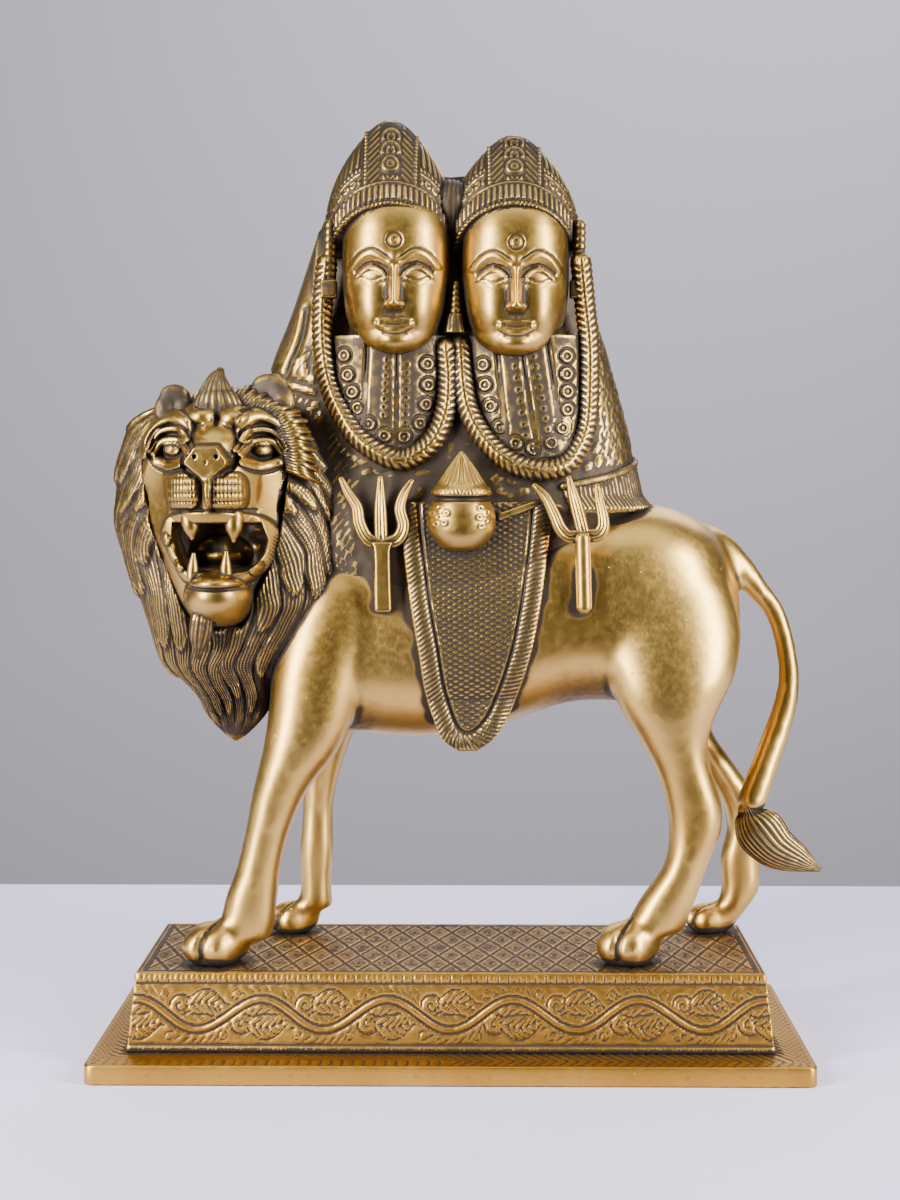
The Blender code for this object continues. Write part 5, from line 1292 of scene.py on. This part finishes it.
def dressPanel(number, panel):
    # a panel inside one garland: dark lines, rings and bosses over the chest
    line = spline(garlandForm["lines"][panel["edge"]], 12)
    low = np.argmin(line[:, 1])
    z = np.linspace(dressForm["low"], dressForm["high"], steps(dressForm["rows"]))[:, None]
    left = np.interp(z, line[:low + 1, 1][::-1], line[:low + 1, 0][::-1])
    right = np.interp(z, line[low:, 1], line[low:, 0])
    t = np.linspace(0, 1, steps(dressForm["columns"]))[None, :]
    x = left + (right - left) * t
    z = np.broadcast_to(z, x.shape)
    relief = 0.9 + 0.08 * noise(x, 0 * x, z, 3.0, 9)
    stainAndShade = np.full(x.shape, -0.5)
    for dark in panel["lines"]:
        d = nearLine(x, z, dark)[0]
        relief -= 1.3 * bell(d, 0.65)
        stainAndShade = np.maximum(stainAndShade, bell(d, 0.75))
    for column in panel["rings"]:
        for cx, cz in evenly([(a, b, 0) for a, b in column], 8)[:, :2]:
            relief += 0.5 * ring(x, z, (cx, cz), 0.8, 0.35) - 0.5 * bell(np.hypot(x - cx, z - cz), 0.4)
    for cx, cz in panel["bosses"]:
        d = np.hypot(x - cx, z - cz)
        for high, radius, width in dressForm["bossRings"]:
            relief += high * bell(d - radius, width)
        stainAndShade = np.maximum(stainAndShade, 0.9 * bell(d - 2.55, 0.45))
    d = nearLine(x, z, garlandForm["lines"][panel["edge"]])[0]
    relief -= 1.0 * ease(4.2, 2.8, d)
    stainAndShade = np.maximum(stainAndShade, ease(4.4, 3.0, d))
    y = chestY(x, z) - relief
    castPiece(f"dress_front_{number}", [closedPanel(grid(x, y, z), 3.0, stainAndShade)], carvedBrass, 6)


for number, panel in enumerate(dressForm["panels"], 1):
    dressPanel(number, panel)


def earOrnaments():
    # beaded rods on square blocks, and a tassel between the figures
    skins = []
    beads = lambda turn, run, length: 0.45 * (grooves(run, 2.2, 0.7) - 0.5) * np.ones_like(turn)
    for x, y in ((-38.6, -18.5), (40.8, -17.5)):
        skins.append(tube([(x, y, 221, 2.0, 2.0), (x + 0.3, y, 238, 1.7, 1.7)], 60, 24, beads))
        block = [(x - 0.3, y, z, half, half) for z, half in ((214.8, 2.2), (215.3, 2.6), (220.0, 2.6), (220.6, 2.2))]
        skins.append(closedRings(columnRings(block, 14, 40, 7)[0]))
    beads = lambda turn, run, length: 0.35 * (grooves(run, 1.9, 0.7) - 0.5) * np.ones_like(turn)
    skins.append(tube([(1.5, -21, 209.5, 1.7, 1.7), (1.6, -20, 219, 1.0, 1.0)], 40, 20, beads))
    tassel = [(1.3, -21, z, half, 0.9 * half) for z, half in ((203.8, 3.1), (206.0, 2.7), (208.8, 2.2), (209.8, 1.6))]
    rings, out, turn = columnRings(tassel, 20, 56, 2.4)
    skins.append(closedRings(rings + out * (0.4 * (ridge(9 * turn, 0.7) - 0.6))[None, :, None]))
    castPiece("ear_ornaments", skins, carvedBrass, 5)


earOrnaments()

# kalash and tridents

kalashForm = {
    "middle": (3.5, -29.0),
    "profile": [(134.6, 3.0), (136.0, 6.8), (140.5, 10.2), (146.0, 10.8), (150.0, 9.4), (151.4, 8.2), (152.8, 9.4),
                (154.4, 8.9), (155.4, 8.0), (160.0, 4.9), (164.0, 1.9), (166.2, 0.5)],
    "rings": [(-3.4, 148.4), (-1.2, 146.9), (-5.8, 146.6), (-3.6, 145.6), (-4.6, 143.4), (-1.9, 143.9),
              (9.6, 148.4), (11.6, 147.0), (9.2, 145.6), (11.2, 144.4), (9.8, 142.8)],
}


def kalash():
    # rings of a profile, fluted above, with small rings on the belly
    cx, cy = kalashForm["middle"]
    rows = [(cx, cy, z, radius, radius * 0.92) for z, radius in kalashForm["profile"]]
    rings, out, turn = columnRings(rows, 104, 104, power=2.0, crowding=0.3)
    x, z = rings[..., 0], rings[..., 2]
    relief = 0.55 * ease(155.6, 156.4, z) * ease(166, 163, z) * (ridge(26 * turn, 0.7) - 0.7)[None, :]
    relief += 0.35 * bell(z - 153.4, 1.1) * np.sin(46 * turn + 2.0 * z) - 0.9 * bell(z - 151.2, 0.5)
    ahead = (rings[..., 1] < cy)
    for px, pz in kalashForm["rings"]:
        relief += ahead * (0.4 * ring(x, z, (px, pz), 0.75, 0.3) - 0.3 * bell(np.hypot(x - px, z - pz), 0.4))
    castPiece("kalash", [closedRings(raised(rings, out, relief))], polishedBrass, 6)


kalash()

tridentForm = [
    {
        "shaft": [(-21.2, 115.6), (-21.5, 134.5)],
        "squared": True,
        "joint": (-21.6, 137.0),
        "tines": [[(-22.6, 137.0), (-26.4, 138.8), (-28.8, 143.5), (-29.6, 148.5), (-32.4, 153.2), (-34.4, 157.3)],
                  [(-21.8, 136.8), (-22.1, 148), (-22.1, 157.6)],
                  [(-20.6, 137.0), (-16.6, 138.6), (-14.8, 142.6), (-15.9, 148), (-14.6, 152.8), (-12.3, 156.6)]],
    },
    {
        "shaft": [(42.3, 116.2), (41.7, 137.5)],
        "squared": False,
        "joint": (41.4, 139.6),
        "tines": [[(40.8, 139.6), (37.2, 139.4), (34.6, 142), (32.6, 146.5), (29.8, 152), (26.6, 155.2)],
                  [(42.0, 140.0), (39.4, 150), (37.3, 157.6)],
                  [(42.6, 139.6), (46.4, 139.9), (48.2, 142.5), (48.0, 146.2), (46.9, 151), (46.2, 155.2)]],
    },
]


tridentY = -30.8


def tridents():
    # a shaft and three tapering tines each, grooved in front
    skins = []
    groove = lambda turn, run, length: (-1.1 * bell(np.angle(np.exp(1j * (turn - frontTurn))), 0.36)
                                        * ease(0.5, 2.5, run) * ease(length, length - 2.5, run) + 0 * turn)
    for trident in tridentForm:
        (footX, footZ), (headX, headZ) = trident["shaft"]
        y = tridentY
        if trident["squared"]:
            shaft = [(footX, y, footZ, 2.3, 2.3), (footX, y, footZ + 0.5, 2.6, 2.6), (headX, y, headZ - 1, 2.5, 2.5),
                     (headX, y, headZ + 3, 3.4, 2.2)]
            skins.append(closedRings(columnRings(shaft, 40, 40, 6)[0]))
        else:
            skins.append(tube([(footX, y, footZ + 1, 2.5, 2.4), (headX, y, headZ + 1, 2.4, 2.3)], 40, 30))
        for line in trident["tines"]:
            path = []
            for k, (x, z) in enumerate(line):
                size = 2.2 * (1 - 0.6 * (k / (len(line) - 1)) ** 3)
                path.append((x, min(y + 1.2, float(chestY(x, z)) - 0.6), z, size, 0.85 * size))
            skins.append(tube(path, 56, 26, groove))
    castPiece("tridents", skins, polishedBrass, 5)


tridents()

# the saddle cloth

clothForm = {
    "rows": [(150, -16.2, 32.4), (141, -15.6, 31.6), (135, -15.0, 31.0), (119, -13.0, 28.8), (103, -10.2, 25.8),
             (90, -8.2, 22.0), (80, -5.2, 18.0), (74, -2.4, 13.6), (70.4, 2.6, 8.6)],
    "lift": 1.2,
    "border": 5.8,
    "tick": 1.55,
    "weave": 1.9,
    "hangsBelow": 87,
    "strip": [(15.4, 145.4), (21.0, 147.4), (27.8, 149.8)],
    "downSteps": 186,
    "acrossSteps": 112,
}


def saddleCloth():
    # a woven panel: a ticked border by the distance to its outline, crossed lines inside
    form = clothForm
    heights = np.linspace(form["rows"][-1][0], form["rows"][0][0], steps(form["downSteps"]))
    path = byHeight(form["rows"], heights, 0)
    t = np.linspace(0, 1, steps(form["acrossSteps"]))[None, :]
    x = path[:, 1:2] + (path[:, 2:3] - path[:, 1:2]) * t
    z = np.broadcast_to(path[:, 0:1], x.shape)
    outline = [(row[1], row[0]) for row in form["rows"]] + [(row[2], row[0]) for row in form["rows"][::-1]]
    d, along = nearLine(x, z, outline)
    share = d / form["border"]
    fringe = ease(1.02, 0.94, share)
    tick = grooves(along + 0.5 * d, form["tick"], 0.7)
    relief = fringe * (1.1 * np.sin(math.pi * np.clip(share, 0.02, 0.98)) ** 0.6 + 0.6 * (tick - 0.6) - 0.2)
    relief -= 0.7 * bell(d - form["border"] - 0.4, 0.45) - 0.3 * bell(d - form["border"] - 1.3, 0.4)
    inner = ease(form["border"] + 1.2, form["border"] + 1.8, d)
    first = grooves(0.52 * x + z, form["weave"], 0.6)
    second = grooves(-0.60 * x + z, form["weave"], 0.6)
    relief += inner * (0.62 * np.minimum(first, second) - 0.35)
    # it follows the flank, and hangs straight down below it
    surface = np.minimum(flankY(x, np.maximum(z, form["hangsBelow"])), np.where(z > 116, shawlY(x, z), 0.0))
    y = surface - form["lift"] - relief
    stainAndShade = 0.45 * inner * ease(0.55, 0.2, np.minimum(first, second)) + 0.5 * inner * ease(128, 142, z)
    strip = [(sx, float(shawlY(sx, sz)) - 1.2, sz, 1.3, 1.2) for sx, sz in form["strip"]]
    skins = [closedPanel(grid(x, y, z), 4.0, stainAndShade), tube(strip, 30, 18)]
    castPiece("saddle_cloth", skins, carvedBrass, 6)


saddleCloth()

hemForm = {
    "turns": (-58, 24),
    "bandZ": [(-58, 155.0), (-30, 159.0), (0, 163.0), (24, 163.6)],
    "fringeFoot": 146.5,
    "tick": 1.45,
}


def shawlAround(turn, z, lift):
    # points of the shawl's squared-off rings, moved out by a lift
    left, right, front, back = readRows(shawlForm["rings"], z)
    bend = 2 / shawlForm["power"]
    cosine, sine = np.cos(turn), np.sin(turn)
    x = (left + right) / 2 + ((right - left) / 2 + lift) * np.sign(cosine) * np.abs(cosine) ** bend
    y = (front + back) / 2 + ((back - front) / 2 + lift) * np.sign(sine) * np.abs(sine) ** bend
    return grid(x, y, z + 0 * x)


def hem():
    # a band and a fringe, both set on the shawl's own rings
    form = hemForm
    turn = np.radians(np.linspace(*form["turns"], 150))
    bandZ = np.interp(np.degrees(turn), *np.array(form["bandZ"], float).T)
    band = [(*point, 1.4, 1.6) for point in shawlAround(turn[::12], bandZ[::12], 0.5)]
    lines = lambda turn, run, length: -0.4 * bell(np.sin(turn - 0.4), 0.25) + 0 * run
    skins = [tube(band, 80, 26, lines)]
    # the fringe: fluted outer points, then inner points back again, from the shawl's foot up to the band
    path = shawlAround(turn, bandZ, 0.0)
    run = runAlong(path)
    up = np.linspace(0, 1, 26)[:, None]
    z = form["fringeFoot"] + (bandZ[None, :] - form["fringeFoot"]) * up
    flute = 0.9 + 0.7 * (1 - up) + 0.55 * (grooves(run, form["tick"], 0.7)[None, :] - 0.6)
    outer, inner = shawlAround(turn[None, :], z, flute), shawlAround(turn[None, :], z, -2.0)
    stainAndShade = np.broadcast_to(0.3 - 0.4 * grooves(run, form["tick"], 0.7)[None, :], z.shape)
    fringe = np.concatenate([outer, inner[:, ::-1]], axis=1)
    skins.append(closedRings(fringe, np.concatenate([stainAndShade, 0 * stainAndShade], axis=1)))
    castPiece("shawl_hem", skins, carvedBrass, 5)


hem()

# the plinth

plinthForm = {
    "blockTopX": 0.101, "blockTopY": 0.033, "draft": 0.00275, "blockHeight": 0.0252,
    "slabHeight": 0.0065, "slabX": float(plinthHigh[0]), "slabY": float(plinthHigh[1]),
    "edge": 0.0006, "slabEdge": 0.0007, "slabCorner": 0.003,
    "around": 1120,
    "sideRows": 42,
    "sideSunk": 0.0002,
    # how far in and how far down each ring of the bed under the engraved top lies
    "bed": [(0.0003, 0.0001), (0.0007, 0.0), (0.0012, 0.0), (0.0016, 0.0009), (0.012, 0.0009)],
    "topGrid": (284, 92),
    "topInset": 1.1,
    "lineDepth": 0.42,
    "slabAround": 840,
    "slabRows": 18,
    # the slab's leaves: length and slant of each, and how far in their spine lies
    "slabLeaf": (3.4, 4.6, 6.4),
    "waves": 5,
    "endWaves": 2,
    "swing": 4.9,
    "lineGap": 1.1,
    "diamond": (8.6, 20.5),
}


def outlinePoints(halfX, halfY, radius, count):
    # a rectangle with round corners, read at places evenly spaced round it, from the middle of its front
    arc = np.linspace(0, math.pi / 2, 9)
    corners = []
    for quarter, (sx, sy) in enumerate(((1, -1), (1, 1), (-1, 1), (-1, -1))):
        turn = arc + math.pi / 2 * (quarter - 1)
        corners.append(np.stack([sx * (halfX - radius) + radius * np.cos(turn),
                                 sy * (halfY - radius) + radius * np.sin(turn)], axis=1))
    line = np.vstack([[[0, -halfY]]] + corners + [[[0, -halfY]]])
    run = runAlong(line)
    wanted = np.linspace(0, run[-1], count, endpoint=False)
    return np.stack([np.interp(wanted, run, line[:, 0]), np.interp(wanted, run, line[:, 1])], axis=1)


def leafScroll(a, h):
    # a curl, then a feather that leaves it: slanted barbs on both sides of a bent spine, inside an outline
    curl = np.hypot(a + 6.0, h - 0.2)
    angle = np.arctan2(h - 0.2, a + 6.0)
    spiral = ridge(fullTurn * curl / 2.3 - angle, 0.8) * ease(3.4, 2.8, curl)
    share = np.clip((a + 5.0) / 14.5, 0, 1)
    spine = 2.2 * np.sin(1.15 * math.pi * share) - 1.0
    wide = 3.9 * np.sin(math.pi * share) ** 0.6
    off = np.abs(h - spine)
    barbs = grooves(a - 0.75 * off - 0.06 * off**2, 2.1, 0.7)
    leaf = ease(wide, wide - 0.5, off) * (share > 0) * (share < 1)
    relief = leaf * (0.75 * barbs - 0.4 - 0.5 * bell(off, 0.35))
    relief = relief - 0.5 * bell(off - wide - 0.2, 0.3) * (share > 0) * (share < 1)
    return relief + (ease(3.5, 2.9, curl) * (0.6 * spiral - 0.3) - 0.5 * bell(curl - 3.4, 0.3)) * (1 - leaf)


def sideRelief(a, h, half, slope, waves):
    # a runs along one side from its middle, h up its slope, both in units: two borders, a double wave and scrolls
    reach = half - 1.6
    mid = 0.5 * slope - 0.4
    period = 2 * reach / waves
    wave = mid + plinthForm["swing"] * np.cos(fullTurn * (a + reach) / period)
    steep = np.sqrt(1 + (fullTurn / period * plinthForm["swing"] * np.sin(fullTurn * (a + reach) / period)) ** 2)
    d = (h - wave) / steep
    relief = 0.5 * bell(d, 0.8) - 0.75 * bell(np.abs(d) - plinthForm["lineGap"] - 0.25, 0.35)
    relief += 0.35 * bell(np.abs(d) - plinthForm["lineGap"] - 1.0, 0.4)
    # short barbs leave the stem on both sides
    comb = grooves(a + 1.1 * np.abs(d), 2.6, 0.7) - 0.5
    relief += 0.5 * comb * bell(np.abs(d) - 3.4, 1.5) * ease(3.0, 3.8, h) * ease(slope - 3.6, slope - 4.4, h)
    field = ease(2.2, 2.8, np.abs(d)) * ease(3.0, 3.8, h) * ease(slope - 3.6, slope - 4.4, h)
    bays = (a + reach) / period
    for start, side in ((0.5, 1), (0.0, -1)):
        place = (np.mod(bays - start + 0.5, 1) - 0.5) * period
        relief += field * leafScroll(place, side * (h - mid) - 2.9)
        # small curls fill the corners of the bay
        for corner in (-1, 1):
            small = np.hypot(place - corner * 0.29 * period, side * (h - mid) - 6.6)
            relief += field * ease(2.0, 1.6, small) * (0.5 * grooves(small, 1.4, 0.8) - 0.3)
    relief += 0.12 * noise(a, h, half + 0 * a, 1.6, 12)
    ticks = grooves(a, 1.7, 0.6)
    relief += bell(h - slope + 1.4, 0.9) * (0.75 * ticks - 0.2) - 0.4 * bell(h - slope + 2.9, 0.35)
    relief += bell(h - 1.3, 0.7) * (0.4 + 0.3 * grooves(a, 1.3, 0.7)) - 0.45 * bell(h - 2.6, 0.35)
    return relief * ease(half, half - 0.8, np.abs(a))


def plinthPiece(name, points, quads, fans, stainAndShade, finish, rounds):
    # a piece of the plinth, from a skin in metres
    if signedVolume(points, quads, fans) < 0:
        quads, fans = quads[:, ::-1], fans[:, ::-1]
    mesh = buildMesh(name, points, quads, fans)
    addPiece(name, mesh, stainAndShade, finish, "plinth", rounds)


def plinthBlock():
    # rings up the four carved sides, then over the edge to a bed
    form = plinthForm
    count = steps(form["around"])
    low, high = form["slabHeight"], form["slabHeight"] + form["blockHeight"]
    slope = math.hypot(form["blockHeight"], form["draft"])
    rings, stainsAndShade = [], []
    # the four leaning sides, from the slab up
    for share in np.linspace(0, 1, steps(form["sideRows"])):
        halfX = form["blockTopX"] + form["draft"] * (1 - share)
        halfY = form["blockTopY"] + form["draft"] * (1 - share)
        line = outlinePoints(halfX, halfY, form["edge"], count)
        onLong = np.abs(line[:, 1]) > halfY - 0.0002
        (x, y), (signX, signY) = line.T, np.sign(line.T)
        a = np.where(onLong, -x * signY, y * signX) / unit
        half = np.where(onLong, halfX, halfY) * 1000
        waves = np.where(onLong, form["waves"], form["endWaves"])
        h = np.full(count, share * slope * 1000)
        relief = sideRelief(a, h, half, slope * 1000, waves) * 0.9 * unit
        edge = min(share, 1 - share) * slope
        relief = relief * min(1.0, edge / 0.0004)
        out = np.stack([np.where(onLong, 0, signX), np.where(onLong, signY, 0)], axis=1)
        line = line + out * (relief - form["sideSunk"])[:, None]
        rings.append(np.c_[line, np.full(count, low + (high - low - form["edge"] * 0.6) * share)])
        stainsAndShade.append(np.full(count, 0.25 * (share < 0.04)))
    # over the edge to a flat bed, on which the engraved top lies
    for inset, drop in form["bed"]:
        line = outlinePoints(form["blockTopX"] - inset, form["blockTopY"] - inset, form["edge"], count)
        rings.append(np.c_[line, np.full(count, high - drop)])
        stainsAndShade.append(np.full(count, 0.3))
    rings = np.array(rings)
    points, quads, fans, stainAndShade = closedRings(rings, np.array(stainsAndShade))
    plinthPiece("plinth_block", points, quads, fans, stainAndShade, plinthBrass, 5)


def plinthTop():
    # a grid over the block: crossed lines in diamonds with a dot in each, and one line along the border
    form = plinthForm
    halfX, halfY = (form[key] / unit - form["topInset"] for key in ("blockTopX", "blockTopY"))
    across, deep = form["topGrid"]
    x = np.linspace(-halfX, halfX, steps(across))[None, :]
    y = np.linspace(-halfY, halfY, steps(deep))[:, None]
    x, y = np.broadcast_arrays(x, y)
    wide, tall = form["diamond"]
    first, second = ridge(fullTurn * (x / wide + y / tall)), ridge(fullTurn * (x / wide - y / tall))
    lines = np.maximum(ease(0.24, 0.08, first), ease(0.24, 0.08, second))
    lines = np.maximum(lines, 0.8 * ease(0.96, 0.985, first) * ease(0.96, 0.985, second))
    rim = np.minimum(halfX - np.abs(x), halfY - np.abs(y))
    carved = np.maximum(lines * ease(2.0, 2.4, rim), bell(rim - 1.8, 0.4))
    high = (form["slabHeight"] + form["blockHeight"]) / unit
    z = high - 0.02 - form["lineDepth"] * carved + 0.06 * noise(x, y, 0 * x, 5, 14)
    points, quads, fans, stainAndShade = closedPanel(grid(x, z, y), 0.0, 0.62 + 0.75 * carved)
    points = points[:, [0, 2, 1]]
    points[len(x.ravel()):, 2] = high - 1.2
    plinthPiece("plinth_top", points * unit, quads, fans, stainAndShade, plinthBrass, 4)


def plinthSlab():
    # rings up the edge and in over the top, with leaves by their way round
    form = plinthForm
    count = steps(form["slabAround"])
    bevel = form["slabEdge"]
    high = form["slabHeight"]
    levels = [(bevel, 0.0), (0.25 * bevel, 0.25 * bevel), (0.0, bevel), (0.0, 0.5 * high), (0.0, high - bevel),
              (0.25 * bevel, high - 0.25 * bevel), (bevel, high)]
    blockEdge = form["slabY"] - form["blockTopY"] - form["draft"]
    levels += [(inset, high) for inset in np.linspace(0.0012, blockEdge + 0.001, steps(form["slabRows"]))]
    rings, stainsAndShade = [], []
    for inset, z in levels:
        line = outlinePoints(form["slabX"] - inset, form["slabY"] - inset, form["slabCorner"], count)
        run = runAlong(line) * 1000
        dip = 0.0
        if z == high and inset > 0.001:
            # slanted leaves in a border, a line on each side of it
            place = inset * 1000
            length, slant, spine = form["slabLeaf"]
            leaves = ridge(fullTurn * (run / length + np.abs(place - spine) / slant), 0.7)
            dip = 0.45 * (1 - leaves) * ease(1.6, 2.4, place) + 0.4 * bell(place - 1.6, 0.35)
        rings.append(np.c_[line, np.full(count, z) - dip * unit])
        stainsAndShade.append(np.zeros(count) + (1.5 * dip - 0.65 if z == high and inset > 0.001 else 0.0))
    points, quads, fans, stainAndShade = closedRings(np.array(rings), np.array(stainsAndShade))
    plinthPiece("plinth_slab", points, quads, fans, stainAndShade, plinthBrass, 5)


plinthBlock()
plinthTop()
plinthSlab()


# how crowded each place is: the area of skin within a short reach in front of it; the finishes darken crowded places,
# partly as patina and partly as painted shade between parts

def crowding(ahead=2.21, cell=0.9, gain=4.0, margin=8, bodyRounds=7):
    # the skin's area per cell, spread over neighbouring cells and read a little way ahead of each point
    places, heads, areas = [], [], []
    for piece in madePieces:
        points, normals, _ = meshArrays(piece.data)
        sizes = readValues(piece.data.polygons, "area")
        corners = readValues(piece.data.loops, "vertex_index", 1, np.int32)
        totals = readValues(piece.data.polygons, "loop_total", 1, np.int32)
        share = np.bincount(corners, np.repeat(sizes / totals, totals), len(points))
        places.append(points / unit)
        heads.append(normals)
        areas.append(share / unit**2)
    low = np.min([place.min(0) for place in places], axis=0) - margin
    high = np.max([place.max(0) for place in places], axis=0) + margin
    shape = tuple(np.ceil((high - low) / cell).astype(int) + 1)

    def cellsOf(where):
        # the number of the cell that holds each place
        index = np.clip(np.round((where - low) / cell).astype(int), 0, np.array(shape) - 1)
        return np.ravel_multi_index(index.T, shape)

    cells = np.zeros(int(np.prod(shape)))
    for place, area in zip(places, areas):
        cells += np.bincount(cellsOf(place), area, len(cells))
    cells = cells.reshape(shape)
    for axis in (0, 0, 1, 1, 2, 2):
        cells = (np.roll(cells, 1, axis) + cells + np.roll(cells, -1, axis)) / 3
    cells = cells.ravel()
    for piece, place, head in zip(madePieces, places, heads):
        found = np.clip(cells[cellsOf(place + ahead * head)] / cell**2 * gain, 0, 2)
        if piece.name == "lion_body":  # its points lie far apart
            found = blended(found, meshArrays(piece.data)[2], bodyRounds)
        setAttribute(piece.data, "crowd", found)


crowding()
print("patina: hollows and crowding worked out")

fullTriangles = sum(triangleCount(piece.data) for piece in madePieces)
print(f"object: {fullTriangles} triangles in {len(madePieces)} pieces")
